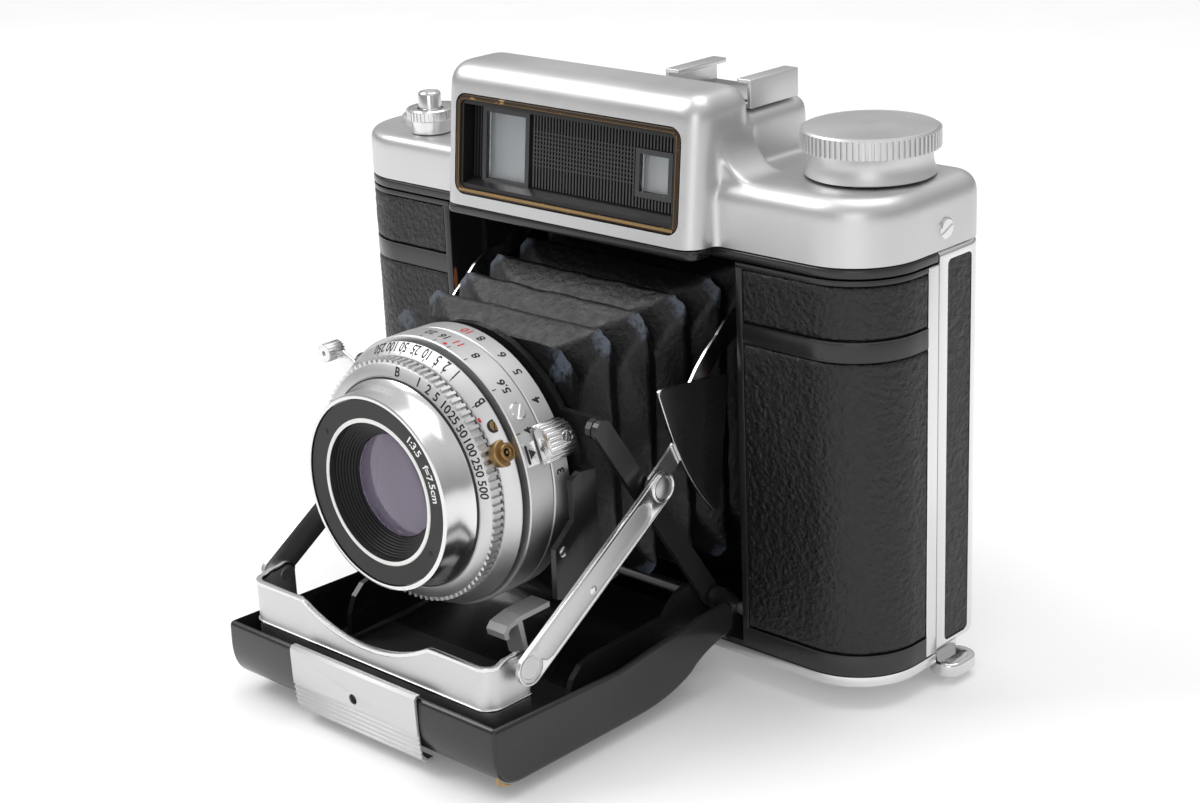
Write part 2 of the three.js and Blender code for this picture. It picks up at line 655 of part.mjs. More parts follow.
// ---------------------------------------------------------------- struts, links and arms
function strut(side) {
  const plate = sidePlate(side, linkShape(STRUT_PIVOT, ELBOW, 3), ...STRUT);
  return join(
    plate,
    sidePin(side, 30.2, 33.3, STRUT_PIVOT, PIN),
    sidePin(side, 33.8, 34.3, ELBOW, 2.3, 20));
}

// Crescent arm from the body's top corner to the elbow; it stays narrow near its upper pin.
function upperLink(side) {
  const [y, z] = LINK_PIVOT;
  const [ey, ez] = ELBOW;
  const shape = new THREE.Shape();
  shape.absarc(y, z, 2.4, -1.1, 2.1, false);
  shape.lineTo(-6.7, 65.9);
  shape.quadraticCurveTo(-13, 66.6, -17.5, 61.8);
  shape.quadraticCurveTo(-24, 57.5, -27, 52);
  shape.lineTo(-30, 45);
  shape.absarc(ey, ez, 2.4, 2.4, 5.2, false);
  shape.lineTo(-26.5, 43);
  shape.lineTo(-23.5, 51);
  shape.quadraticCurveTo(-19, 58, -7, 62.6);
  shape.closePath();
  return join(sidePlate(side, shape, ...LINK), sidePin(side, 32, 36, LINK_PIVOT, PIN));
}

function fanPlate(side) {
  const shape = new THREE.Shape();
  shape.moveTo(-15, 54);
  shape.lineTo(-32.8, 56.2);
  shape.quadraticCurveTo(-34.4, 56.2, -34, 54.8);
  shape.quadraticCurveTo(-28.5, 38, -20.4, 29.6);
  shape.quadraticCurveTo(-18.9, 28.4, -18.6, 30.2);
  shape.closePath();
  return sidePlate(side, shape, ...FAN);
}

function erectingArm(side) {
  const plate = sidePlate(side, linkShape(ARM_PIVOT, ARM_HEAD, 2), ...ARM);
  return join(
    cut(plate, sidePin(side, 29, 32, ARM_PIVOT, HOLE)),
    sidePin(side, 28.6, 30.2, ARM_HEAD, HEAD[0]));
}

// ---------------------------------------------------------------- front standard and bellows
function frontStandard() {
  const [y, z] = ARM_HEAD;
  const [front, back] = [-46.4, -45];
  const disc = lensTurned(tube(15, 24.4, front - LENS_FRONT, back - LENS_FRONT), 32);
  const wings = box(-27.4, 27.4, front, back, 22, 44);
  const cheek = polygon([[back, 22], [back, 44], [-49, 44.4], [-51, 43.4], [-51, 36], [-55.8, 32],
    [-56, 22.8], [-53, 22]]);
  const cheeks = [-1, 1].map((side) => sidePlate(side, cheek, 26.2, 27.4));
  const bars = [-1, 1].map((side) => sideBox(side, 18, 29, front, back, z - 1.8, z + 1.8));
  const ears = [-1, 1].map((side) => sidePin(side, 28.4, 29.6, [y, z], 1.9));
  return cut(
    join(disc, wings, ...cheeks, ...bars, ...ears),
    lensTurned([[0, 20], [15, 20], [15, 40], [0, 40]], 32),
    ...[-1, 1].map((side) => sidePin(side, 27.9, 30, [y, z], HEAD[1])));
}

// Bent bright tab under the shutter, with a curled front edge and a leg down to the bed.
function standardFoot() {
  const tab = polygon([[-48.9, 17.4], [-56, 17.2], [-59.6, 16.4], [-60.6, 15.3], [-60.3, 14], [-59.2, 13.8],
    [-59.4, 15], [-58.8, 15.6], [-57, 16], [-55.4, 8.8], [-54.5, 8.8], [-55.9, 16.2], [-48.9, 16.4]]);
  return sidePlate(1, tab, 13.8, 18.2);
}

// Straight-sided loft through rectangular rings [half width, half height, y], closed at both ends.
function loft(rings) {
  const points = [];
  for (const [w, h, y] of rings) {
    for (const [sx, sz] of [[-1, -1], [1, -1], [1, 1], [-1, 1]]) points.push(sx * w, y, LENS_Z + sz * h);
  }
  const index = [0, 1, 2, 0, 2, 3];
  for (let ring = 0; ring + 1 < rings.length; ring += 1) {
    for (let k = 0; k < 4; k += 1) {
      const [a, b] = [4 * ring + k, 4 * ring + ((k + 1) % 4)];
      index.push(a, a + 4, b, b, a + 4, b + 4);
    }
  }
  const last = 4 * (rings.length - 1);
  index.push(last, last + 2, last + 1, last, last + 3, last + 2);
  const geometry = new THREE.BufferGeometry();
  geometry.setAttribute('position', new THREE.BufferAttribute(new Float32Array(points), 3));
  geometry.setIndex(index);
  return solid(geometry);
}

function bellows() {
  const { front, folds, depth, small, growth } = BELLOWS;
  const back = GATE_Y - 0.4;
  const outer = [];
  for (let i = 0; i <= 2 * folds; i += 1) {
    const share = i / (2 * folds);
    const inset = i % 2 === 0 ? 0 : depth;
    const [w, h] = small.map((size, k) => size + growth[k] * share - inset);
    outer.push([w, h, front + (back - front) * share]);
  }
  const inner = [[15, 15, front - 1], [22.5, 24, back + 1]];
  return cut(loft(outer), loft(inner));
}

// ---------------------------------------------------------------- shutter and lens
// Cylinder standing out from the lens axis, raised by an angle from +X and set behind the name ring.
function radialPin(turn, behind, r0, r1, radius, segments) {
  const geometry = new THREE.CylinderGeometry(radius, radius, r1 - r0, segments);
  geometry.rotateZ(-Math.PI / 2).translate((r0 + r1) / 2, 0, 0).rotateY(-turn);
  return solid(geometry.translate(0, LENS_FRONT + behind, LENS_Z));
}

function shutterHousing() {
  const profile = [[14.6, 9.6], [22.3, 9.6], [24.2, 11.9], [20.8, 11.9], [20.8, 12.9], [20.5, 12.9],
    [20.5, 23.2], [14.6, 23.2], [14.6, 9.6]];
  return cut(lensTurned(profile), radialPin(SYNC_TURN, 10.9, 18, 30, 1.7, 14));
}

function syncPost() {
  return cut(radialPin(SYNC_TURN, 10.9, 18.2, 25.4, 1.5, 14), radialPin(SYNC_TURN, 10.9, 24, 27, 0.6, 8));
}

// Ring of small teeth with the shutter speeds on its flat front.
function speedRing() {
  const teeth = 36;
  const shape = new THREE.Shape();
  shape.moveTo(22.2, 0);
  for (let i = 0; i < teeth; i += 1) {
    const turn = (2 * Math.PI * i) / teeth;
    const half = turn + Math.PI / teeth;
    if (i > 0) shape.lineTo(22.2 * Math.cos(turn), 22.2 * Math.sin(turn));
    shape.lineTo(21.6 * Math.cos(half), 21.6 * Math.sin(half));
  }
  shape.closePath();
  const rim = frontPlate(shape, LENS_FRONT + 7.2, LENS_FRONT + 9.3).translate([0, 0, LENS_Z]);
  const face = lensTurned([[0, 6.5], [19.3, 6.5], [21.7, 7.2], [21.7, 9.3], [0, 9.3]]);
  return cut(join(face, rim), lensTurned([[0, 5], [16.9, 5], [16.9, 11], [0, 11]]));
}

function apertureRing() {
  return lensTurned(tube(20.9, 25, 13.2, 18.9));
}

function focusRing() {
  return join(lensTurned(tube(20.9, 24.9, 19.2, 23.2)), radialPin(KNOB_TURN, 21, 24.4, 25.1, 1.6, 12));
}

// Half-round fluted grip on the focus ring; it lies along the lens axis and reaches over the aperture ring.
function focusKnob() {
  const flutes = 9;
  const [radius, base, depth] = [3.6, 25.2, 0.3];
  const shape = new THREE.Shape();
  shape.moveTo(base, -radius);
  for (let i = 0; i <= 2 * flutes; i += 1) {
    const turn = Math.PI * (i / (2 * flutes) - 0.5);
    const reach = i % 2 === 0 ? radius : radius - depth;
    shape.lineTo(base + 0.1 + reach * Math.cos(turn), reach * Math.sin(turn));
  }
  shape.lineTo(base, radius);
  shape.closePath();
  const grip = frontPlate(shape, LENS_FRONT + 16.8, LENS_FRONT + 22.8);
  return solid(geometryOf(grip).rotateY(-KNOB_TURN).translate(0, 0, LENS_Z));
}

function lensBarrel() {
  return lensTurned([[17.1, 0], [17.86, 0], [18, 3], [19, 6.3], [16.6, 6.3], [16.6, 9.4], [14.4, 9.4],
    [14.4, 2], [17.1, 2], [17.1, 0]]);
}

function nameRing() {
  return lensTurned([[13.3, 0.5], [16.9, 0.3], [16.9, 1.8], [14.2, 1.8], [14.2, 7], [9.6, 7], [9.6, 4.5],
    [11, 3], [12.4, 1.6], [13.3, 0.5]]);
}

// Domed glass disc; its front stands at the given distance behind the name ring.
function element(radius, front, bulge, thick) {
  const steps = 3;
  const profile = [[0, front]];
  for (let i = 1; i <= steps; i += 1) {
    const share = i / steps;
    profile.push([radius * share, front + bulge * share * share]);
  }
  profile.push([radius, front + bulge + thick]);
  profile.push([0, front + bulge + thick]);
  return lensTurned(profile, 32);
}

function cockingLever() {
  const arm = box(21.3, 29, LENS_FRONT + 12.1, LENS_FRONT + 12.7, -1.3, 1.3);
  const knob = pinY(29, LENS_FRONT + 9.4, LENS_FRONT + 12.7, 0, 1.7, 16);
  return solid(geometryOf(join(arm, knob)).rotateY(-LEVER_TURN).translate(0, 0, LENS_Z));
}

// ---------------------------------------------------------------- build
place('body_casting', bodyCasting(), 'black');
place('bottom_plate', bottomPlate(), 'chrome');
place('tripod_bush', tripodBush(), 'chrome');
place('top_trim', topTrim(), 'black');
place('top_cover', topCover(), 'satin');
place('cover_screw', coverScrew(), 'chrome');
place('eyepiece', eyepiece(), 'black');
place('accessory_shoe', accessoryShoe(), 'satin');
for (const [side, label] of [[-1, 'left'], [1, 'right']]) {
  place(`leather_upper_${label}`, leatherPanel(side, 65.2, 74.8), 'leather');
  place(`leather_lower_${label}`, leatherPanel(side, 6.2, 61.1), 'leather');
  place(`side_trim_${label}`, sideTrim(side), 'chrome');
  place(`door_leather_${label}`, doorLeather(side), 'leather');
  place(`bed_rail_${label}`, bedRail(side), 'black');
  place(`strut_${label}`, strut(side), 'satin');
  place(`upper_link_${label}`, upperLink(side), 'chrome');
  place(`fan_plate_${label}`, fanPlate(side), 'black');
  place(`erecting_arm_${label}`, erectingArm(side), 'black');
}

const finder = new THREE.Group();
windowMatrix().decompose(finder.position, finder.quaternion, finder.scale);
camera.add(finder);
place('window_frame', windowFrame(), 'brass', finder);
place('window_mask', windowMask(), 'black', finder);
place('viewfinder_glass', windowPane(FINDER), 'glass', finder);
place('rangefinder_glass', windowPane(RANGE), 'glass', finder);

place('advance_knob', advanceKnob(), 'chrome');
place('takeup_spool', filmSpool(1, 5), 'black');
place('supply_spool', filmSpool(-1, 10.5), 'black');
place('bottom_knob', bottomKnob(), 'chrome');
place('release_collar', releaseCollar(), 'chrome');
place('release_button', releaseButton(), 'chrome');
place('counter_dial', counterDial(), 'satin');

place('back_door', backDoor(), 'chrome');
place('back_leather', backLeather(), 'leather');
place('pressure_plate', pressurePlate(), 'black');
place('back_latch', backLatch(), 'chrome');
place('back_hinge_pin', backHingePin(), 'steel');

place('bed_door', bedDoor(), 'black');
place('latch_plate', latchPlate(), 'satin');
place('front_bracket', frontBracket(), 'chrome');
place('bed_hinge_pin', bedHingePin(), 'steel');

place('front_standard', frontStandard(), 'black');
place('standard_foot', standardFoot(), 'chrome');
place('bellows', bellows(), 'cloth');
place('shutter_housing', shutterHousing(), 'satin');
place('speed_ring', speedRing(), 'satin');
place('aperture_ring', apertureRing(), 'satin');
place('focus_ring', focusRing(), 'satin');
place('focus_knob', focusKnob(), 'chrome');
place('lens_barrel', lensBarrel(), 'chrome');
place('name_ring', nameRing(), 'black');
place('front_element', element(9.4, 3.5, 1.2, 2.2), 'glass');
place('rear_element', element(8, 17, 0.8, 2), 'glass');
place('cocking_lever', cockingLever(), 'chrome');
place('sync_post', syncPost(), 'brass');

export default camera;
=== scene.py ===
"""Looks for the folding camera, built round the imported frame. Helpers take millimetres."""

import math

import bmesh
import bpy
from mathutils import Matrix, Vector, noise


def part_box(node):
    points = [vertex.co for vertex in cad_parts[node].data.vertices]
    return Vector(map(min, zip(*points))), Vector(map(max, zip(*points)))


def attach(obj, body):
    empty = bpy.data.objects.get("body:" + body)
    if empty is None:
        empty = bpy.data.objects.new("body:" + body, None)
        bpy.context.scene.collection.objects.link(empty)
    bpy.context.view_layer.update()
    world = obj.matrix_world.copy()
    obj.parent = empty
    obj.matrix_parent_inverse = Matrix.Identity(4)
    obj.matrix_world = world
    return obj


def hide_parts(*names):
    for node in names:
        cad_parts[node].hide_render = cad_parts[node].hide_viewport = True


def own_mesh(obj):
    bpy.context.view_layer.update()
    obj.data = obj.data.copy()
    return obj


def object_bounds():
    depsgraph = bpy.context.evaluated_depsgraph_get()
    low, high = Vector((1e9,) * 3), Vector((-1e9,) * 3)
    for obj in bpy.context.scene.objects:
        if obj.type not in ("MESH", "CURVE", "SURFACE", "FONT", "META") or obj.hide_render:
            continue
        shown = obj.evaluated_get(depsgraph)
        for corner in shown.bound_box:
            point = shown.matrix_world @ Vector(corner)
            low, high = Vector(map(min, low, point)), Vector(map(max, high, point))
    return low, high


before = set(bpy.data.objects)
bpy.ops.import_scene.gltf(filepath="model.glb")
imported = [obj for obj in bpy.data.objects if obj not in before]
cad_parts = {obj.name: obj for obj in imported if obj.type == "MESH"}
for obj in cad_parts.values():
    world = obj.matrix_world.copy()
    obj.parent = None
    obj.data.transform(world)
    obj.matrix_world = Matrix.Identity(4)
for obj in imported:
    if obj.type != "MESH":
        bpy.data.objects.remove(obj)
cad_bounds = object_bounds()

MM = 0.001
TAU = 2 * math.pi


def low(node, axis):
    """Lowest coordinate of a CAD node along 0, 1 or 2, in millimetres."""
    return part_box(node)[0][axis] / MM


def high(node, axis):
    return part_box(node)[1][axis] / MM


# ------------------------------------------------------------------ places read from the frame
HALF = high("top_cover", 0)
BACK = high("top_cover", 1)
FRONT = low("bottom_plate", 1)
COVER_LOW = low("top_cover", 2)
HOOD_TOP = high("top_cover", 2)
HOOD_FRONT = low("top_cover", 1)
KNOB_X = (low("advance_knob", 0) + high("advance_knob", 0)) / 2
KNOB_Y = (low("advance_knob", 1) + high("advance_knob", 1)) / 2
KNOB_R = (high("advance_knob", 0) - low("advance_knob", 0)) / 2
KNOB_TOP = high("advance_knob", 2)
LENS_Z = (low("name_ring", 2) + high("name_ring", 2)) / 2
LENS_Y = low("lens_barrel", 1)

# ------------------------------------------------------------------ places a node's box doesn't give
RADIUS = 13
HOOD_HALF = 32
RIGHT_TOP = 90
LEFT_TOP = 87
STRUT_END = (-69.6, 16.8)
ELBOW = (-35.0, 38.6)
LEAN = 0.106
WINDOW_Z = 89.9
RELEASE_AT = (-48, -9.5, 0)
COUNTER_AT = (-55.5, -1, 0)
EYE_AT = (-17, 0, 92)
FIGURE_LIFT = 0.02


# ------------------------------------------------------------------ materials
def new_material(name):
    made = bpy.data.materials.new(name)
    made.use_nodes = True
    nodes = made.node_tree.nodes
    return made, nodes, made.node_tree.links, nodes["Principled BSDF"]


def textured(nodes, links, kind, scale, detail=4.0, stretch=(1, 1, 1)):
    place = nodes.new("ShaderNodeTexCoord")
    mapping = nodes.new("ShaderNodeMapping")
    mapping.inputs["Scale"].default_value = stretch
    links.new(place.outputs["Object"], mapping.inputs["Vector"])
    texture = nodes.new(kind)
    texture.inputs["Scale"].default_value = scale
    if "Detail" in texture.inputs:
        texture.inputs["Detail"].default_value = detail
    links.new(mapping.outputs["Vector"], texture.inputs["Vector"])
    return texture


def ramp(nodes, links, source, stops):
    made = nodes.new("ShaderNodeValToRGB")
    elements = made.color_ramp.elements
    while len(elements) < len(stops):
        elements.new(0.5)
    for element, (place, colour) in zip(elements, stops):
        element.position = place
        element.color = (*colour, 1) if len(colour) == 3 else (colour[0],) * 3 + (1,)
    links.new(source, made.inputs["Fac"])
    return made.outputs["Color"]


def bump(nodes, links, shader, source, strength, distance):
    made = nodes.new("ShaderNodeBump")
    made.inputs["Strength"].default_value = strength
    made.inputs["Distance"].default_value = distance * MM
    links.new(source, made.inputs["Height"])
    links.new(made.outputs["Normal"], shader.inputs["Normal"])


def finish_of(name, colour, rough, metallic, grain=900, spread=0.06, height=0.02, stretch=(1, 1, 1), coat=0.0,
              specks=None):
    """Plain finish broken up by fine grain, broad colour drift, uneven gloss and optional specks."""
    made, nodes, links, shader = new_material(name)
    shader.inputs["Metallic"].default_value = metallic
    shader.inputs["Coat Weight"].default_value = coat
    broad = textured(nodes, links, "ShaderNodeTexNoise", 45, 5)
    dark = tuple(c * (1 - spread) for c in colour)
    light = tuple(min(1, c * (1 + spread)) for c in colour)
    base = ramp(nodes, links, broad.outputs["Fac"], [(0.3, dark), (0.7, light)])
    if specks:
        speck_colour, amount = specks
        spots = textured(nodes, links, "ShaderNodeTexNoise", 260, 6)
        mask = ramp(nodes, links, spots.outputs["Fac"], [(amount, (0, 0, 0)), (amount + 0.02, (1, 1, 1))])
        mix = nodes.new("ShaderNodeMix")
        mix.data_type = "RGBA"
        links.new(mask, mix.inputs["Factor"])
        links.new(base, mix.inputs["A"])
        mix.inputs["B"].default_value = (*speck_colour, 1)
        base = mix.outputs["Result"]
    links.new(base, shader.inputs["Base Color"])
    gloss = ramp(nodes, links, broad.outputs["Fac"], [(0.25, (rough * 0.8,)), (0.75, (min(1, rough * 1.2),))])
    links.new(gloss, shader.inputs["Roughness"])
    fine = textured(nodes, links, "ShaderNodeTexNoise", grain, 3, stretch)
    bump(nodes, links, shader, fine.outputs["Fac"], 0.35, height)
    return made


def leather_finish(name, colour, scale, height, rough):
    made, nodes, links, shader = new_material(name)
    cells = textured(nodes, links, "ShaderNodeTexVoronoi", scale)
    cells.feature = "SMOOTH_F1"
    creases = textured(nodes, links, "ShaderNodeTexNoise", scale * 0.6, 6)
    joined = nodes.new("ShaderNodeMath")
    joined.operation = "ADD"
    links.new(cells.outputs["Distance"], joined.inputs[0])
    links.new(creases.outputs["Fac"], joined.inputs[1])
    base = ramp(nodes, links, joined.outputs[0],
                [(0.35, tuple(c * 1.7 for c in colour)), (0.8, colour),
                 (1.0, tuple(c * 0.5 for c in colour))])
    links.new(base, shader.inputs["Base Color"])
    gloss = ramp(nodes, links, creases.outputs["Fac"], [(0.3, (rough * 0.85,)), (0.7, (rough * 1.15,))])
    links.new(gloss, shader.inputs["Roughness"])
    inverted = nodes.new("ShaderNodeMath")
    inverted.operation = "MULTIPLY"
    inverted.inputs[1].default_value = -1
    links.new(joined.outputs[0], inverted.inputs[0])
    bump(nodes, links, shader, inverted.outputs[0], 0.8, height)
    return made


def glass_finish(name, tint, rough, weight):
    made, nodes, links, shader = new_material(name)
    smear = textured(nodes, links, "ShaderNodeTexNoise", 60, 3)
    base = ramp(nodes, links, smear.outputs["Fac"], [(0.3, tint),
                                                     (0.7, tuple(min(1, c * 1.06) for c in tint))])
    links.new(base, shader.inputs["Base Color"])
    links.new(ramp(nodes, links, smear.outputs["Fac"], [(0.3, (rough,)), (0.7, (rough * 2,))]),
              shader.inputs["Roughness"])
    shader.inputs["Transmission Weight"].default_value = weight
    shader.inputs["IOR"].default_value = 1.5
    bump(nodes, links, shader, smear.outputs["Fac"], 0.05, 0.01)
    return made


SATIN = finish_of("satin_chrome", (0.64, 0.64, 0.645), 0.42, 1, grain=2600, spread=0.02, height=0.008)
BRIGHT = finish_of("bright_chrome", (0.74, 0.74, 0.745), 0.2, 1, grain=900, spread=0.03, height=0.006)
TURNED = finish_of("turned_satin", (0.66, 0.66, 0.665), 0.45, 1, grain=1800, spread=0.03, height=0.01)
BLACK = finish_of("black_enamel", (0.012, 0.012, 0.013), 0.28, 0, grain=500, spread=0.3, height=0.02,
                  coat=0.12, specks=((0.22, 0.13, 0.06), 0.8))
MATT = finish_of("matt_black", (0.009, 0.009, 0.0095), 0.5, 0, grain=900, spread=0.3, height=0.03)
DEEP = finish_of("lens_black", (0.004, 0.004, 0.005), 0.45, 0, grain=900, spread=0.2, height=0.01)
BRASS = finish_of("aged_brass", (0.34, 0.22, 0.1), 0.4, 1, grain=700, spread=0.25, height=0.03)
BROWNED = finish_of("browned_brass", (0.05, 0.032, 0.018), 0.35, 0.6, grain=700, spread=0.4, height=0.03,
                    specks=((0.32, 0.2, 0.09), 0.64))
# A lighter copy of the mask's black for the ribs, rims and sill, so their raised faces look lit: painted
# highlight
LIT_MASK_BLACK = finish_of("mask_black_painted_highlight", (0.022, 0.022, 0.023), 0.32, 0, grain=900, spread=0.2, height=0.01,
                   coat=0.3)
# Light grey for the sheets behind the window panes: painted reflection, the lighter look the windows get from
# reflected light
WINDOW_REFLECTION_GREY = finish_of("window_painted_reflection", (0.1, 0.105, 0.11), 0.45, 0, grain=500, spread=0.2, height=0.02)
STEEL = finish_of("brushed_steel", (0.5, 0.5, 0.51), 0.35, 1, grain=700, spread=0.1, height=0.02,
                  stretch=(1, 1, 14))
PEBBLE = leather_finish("pebbled_leather", (0.007, 0.007, 0.0075), 1000, 0.32, 0.42)
PLEAT = leather_finish("bellows_leather", (0.0035, 0.0037, 0.0048), 900, 0.12, 0.48)
WHITE = finish_of("white_fill", (0.8, 0.8, 0.78), 0.6, 0, spread=0.08)
INK = finish_of("black_fill", (0.01, 0.01, 0.01), 0.6, 0, spread=0.2)
RED = finish_of("red_fill", (0.55, 0.03, 0.03), 0.55, 0, spread=0.1)
CLEAR = glass_finish("finder_glass", (0.75, 0.78, 0.8), 0.03, 0.85)
COATED = glass_finish("coated_glass", (0.78, 0.68, 0.9), 0.02, 0.9)
PLATED = finish_of("plated_steel", (0.8, 0.8, 0.8), 0.45, 0.55, grain=800, spread=0.05, height=0.01)
WORN = finish_of("worn_primer", (0.35, 0.11, 0.03), 0.6, 0, grain=400, spread=0.35, height=0.05)


# ------------------------------------------------------------------ mesh tools
def add(name, points, faces, look, body, replaces=(), slot=None, angle=32, bevel=0.0, segments=2):
    """A piece from millimetre points; sharp edges wider than the angle, optional rounded edges."""
    mesh = bpy.data.meshes.new(name)
    mesh.from_pydata([Vector(p) * MM for p in points], [], faces)
    work = bmesh.new()
    work.from_mesh(mesh)
    bmesh.ops.remove_doubles(work, verts=work.verts, dist=1e-7)
    bmesh.ops.recalc_face_normals(work, faces=work.faces)
    work.to_mesh(mesh)
    work.free()
    piece = bpy.data.objects.new(name, mesh)
    bpy.context.scene.collection.objects.link(piece)
    mesh.materials.append(look)
    if bevel:
        round_edges(piece, bevel, segments)
    settle(piece, angle)
    if body:
        dress(piece, body, replaces, slot)
    return piece


def dress(piece, body, replaces=(), slot=None):
    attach(piece, body)
    if replaces:
        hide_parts(*replaces)
    return piece


def round_edges(piece, width, segments=2, angle=35):
    modifier = piece.modifiers.new("rounded", "BEVEL")
    modifier.width = width * MM
    modifier.segments = segments
    modifier.limit_method = "ANGLE"
    modifier.angle_limit = math.radians(angle)
    modifier.use_clamp_overlap = True


def repaint(piece, look):
    piece.data.materials.clear()
    piece.data.materials.append(look)


def settle(piece, angle=32):
    """Applies modifiers to the mesh and sets smooth shading with sharp edges."""
    if piece.modifiers:
        graph = bpy.context.evaluated_depsgraph_get()
        final = bpy.data.meshes.new_from_object(piece.evaluated_get(graph))
        piece.modifiers.clear()
        piece.data = final
    for face in piece.data.polygons:
        face.use_smooth = True
    piece.data.set_sharp_from_angle(angle=math.radians(angle))


def cut(piece, *tools, operation="DIFFERENCE"):
    for tool in tools:
        modifier = piece.modifiers.new("cut", "BOOLEAN")
        modifier.operation = operation
        modifier.solver = "EXACT"
        modifier.object = tool
    settle(piece)
    for tool in tools:
        bpy.data.objects.remove(tool)
    return piece


def arc(a, b, radius, start, end, steps):
    """Points on an arc, angles in degrees."""
    turns = [math.radians(start + (end - start) * i / steps) for i in range(steps + 1)]
    return [(a + radius * math.cos(t), b + radius * math.sin(t)) for t in turns]


def curve(p0, p1, p2, steps=8):
    """Quadratic curve without its first point."""
    made = []
    for i in range(1, steps + 1):
        t = i / steps
        made.append(tuple((1 - t) ** 2 * a + 2 * t * (1 - t) * b + t * t * c for a, b, c in zip(p0, p1, p2)))
    return made


def rect(a0, a1, b0, b1, radius=0.0, steps=6):
    if not radius:
        return [(a0, b0), (a1, b0), (a1, b1), (a0, b1)]
    return (arc(a1 - radius, b0 + radius, radius, -90, 0, steps) + arc(a1 - radius, b1 - radius, radius, 0,
                                                                       90, steps)
            + arc(a0 + radius, b1 - radius, radius, 90, 180, steps)
            + arc(a0 + radius, b0 + radius, radius, 180, 270, steps))


ORDER = {"x": lambda a, b, c: (c, a, b), "y": lambda a, b, c: (a, c, b), "z": lambda a, b, c: (a, b, c)}


def prism_data(outline, axis, start, end):
    """Outline in the plane across the axis ((Y, Z), (X, Z) or (X, Y)), carried from start to end."""
    count = len(outline)
    at = ORDER[axis]
    points = [at(a, b, start) for a, b in outline] + [at(a, b, end) for a, b in outline]
    faces = [tuple(range(count)), tuple(range(2 * count - 1, count - 1, -1))]
    faces += [(i, (i + 1) % count, count + (i + 1) % count, count + i) for i in range(count)]
    return points, faces


def prism(name, outline, axis, start, end, look, body, **options):
    return add(name, *prism_data(outline, axis, start, end), look, body, **options)


def block(name, x0, x1, y0, y1, z0, z1, look, body, **options):
    return prism(name, rect(x0, x1, y0, y1), "z", z0, z1, look, body, **options)


def lathe_data(profile, centre, axis, segments=96, closed=False):
    """Profile of (radius, distance along the axis) turned about an axis through the centre."""
    frame_of = {"z": (Vector((1, 0, 0)), Vector((0, 1, 0)), Vector((0, 0, 1))),
                "y": (Vector((1, 0, 0)), Vector((0, 0, 1)), Vector((0, 1, 0))),
                "x": (Vector((0, 1, 0)), Vector((0, 0, 1)), Vector((1, 0, 0)))}
    u, v, w = frame_of[axis] if isinstance(axis, str) else axis
    points, rings = [], []
    for radius, along in profile:
        if radius < 1e-6:
            rings.append([len(points)] * segments)
            points.append(Vector(centre) + w * along)
            continue
        rings.append(list(range(len(points), len(points) + segments)))
        for i in range(segments):
            turn = TAU * i / segments
            points.append(Vector(centre) + (u * math.cos(turn) + v * math.sin(turn)) * radius + w * along)
    faces = []
    spans = len(rings) if closed else len(rings) - 1
    for k in range(spans):
        first, second = rings[k], rings[(k + 1) % len(rings)]
        for i in range(segments):
            j = (i + 1) % segments
            face = []
            for index in (first[i], first[j], second[j], second[i]):
                if index not in face:
                    face.append(index)
            if len(face) > 2:
                faces.append(tuple(face))
    return points, faces


def lathe(name, profile, centre, axis, look, body, segments=96, closed=False, **options):
    return add(name, *lathe_data(profile, centre, axis, segments, closed), look, body, **options)


def toothed(radius, depth, teeth, flat=0.45):
    """Outline of a round rim with straight-sided teeth, about 0, 0."""
    made = []
    for i in range(teeth):
        for r, share in ((radius, 0), (radius, flat), (radius - depth, 0.5), (radius - depth, 0.95)):
            turn = TAU * (i + share) / teeth
            made.append((r * math.cos(turn), r * math.sin(turn)))
    return made


def merged(name, parts, look, body, **options):
    """Several closed shapes kept together as one piece."""
    points, faces = [], []
    for part_points, part_faces in parts:
        start = len(points)
        points += part_points
        faces += [tuple(i + start for i in face) for face in part_faces]
    return add(name, points, faces, look, body, **options)


def moved(data, x=0, y=0, z=0):
    points, faces = data
    return [(p[0] + x, p[1] + y, p[2] + z) for p in points], faces


def oriented(data, origin, turn):
    """Points turned by a matrix and set at an origin."""
    points, faces = data
    return [turn @ Vector(p) + Vector(origin) for p in points], faces


# ------------------------------------------------------------------ body
def plan(inset, y_back, back_radius=0.0):
    """Plan outline of the body, drawn in by inset."""
    steps = 20
    half, front, round_ = HALF - inset, FRONT + inset, RADIUS - inset
    made = arc(half - round_, front + round_, round_, -90, 0, steps)
    if back_radius:
        made += arc(half - back_radius, y_back - back_radius, back_radius, 0, 90, 10)
        made += arc(-half + back_radius, y_back - back_radius, back_radius, 90, 180, 10)
    else:
        made += [(half, y_back), (-half, y_back)]
    return made + arc(-half + round_, front + round_, round_, 180, 270, steps)


def front_path(side, x_start, y_end, inset):
    """Points and outward normals along the front from x_start, round the corner and back to y_end."""
    steps = 26
    half, front, round_ = HALF - inset, FRONT + inset, RADIUS - inset
    path = []
    flat = half - round_ - x_start
    for i in range(16):
        path.append((x_start + flat * i / 16, front, 0, -1))
    for x, y in arc(half - round_, front + round_, round_, -90, 0, steps):
        path.append((x, y, (x - half + round_) / round_, (y - front - round_) / round_))
    reach = y_end - front - round_
    for i in range(1, 9):
        path.append((half, front + round_ + reach * i / 8, 1, 0))
    return [(side * x, y, side * nx, ny) for x, y, nx, ny in path]


def dense(path, step):
    """The same path with points no further apart than step."""
    made = [path[0]]
    for before, after in zip(path, path[1:]):
        count = max(1, math.ceil(math.dist(before[:2], after[:2]) / step))
        for i in range(1, count + 1):
            t = i / count
            made.append(tuple(a + (b - a) * t for a, b in zip(before, after)))
    return made


def pebble(point):
    """Height of the leather's grain at a point, 0 to 1."""
    cells = noise.voronoi(Vector(point) * 0.95)[0]
    ridge = min(1, (cells[1] - cells[0]) * 2.2)
    return 0.6 * ridge + 0.4 * (noise.noise(Vector(point) * 1.7) * 0.5 + 0.5)


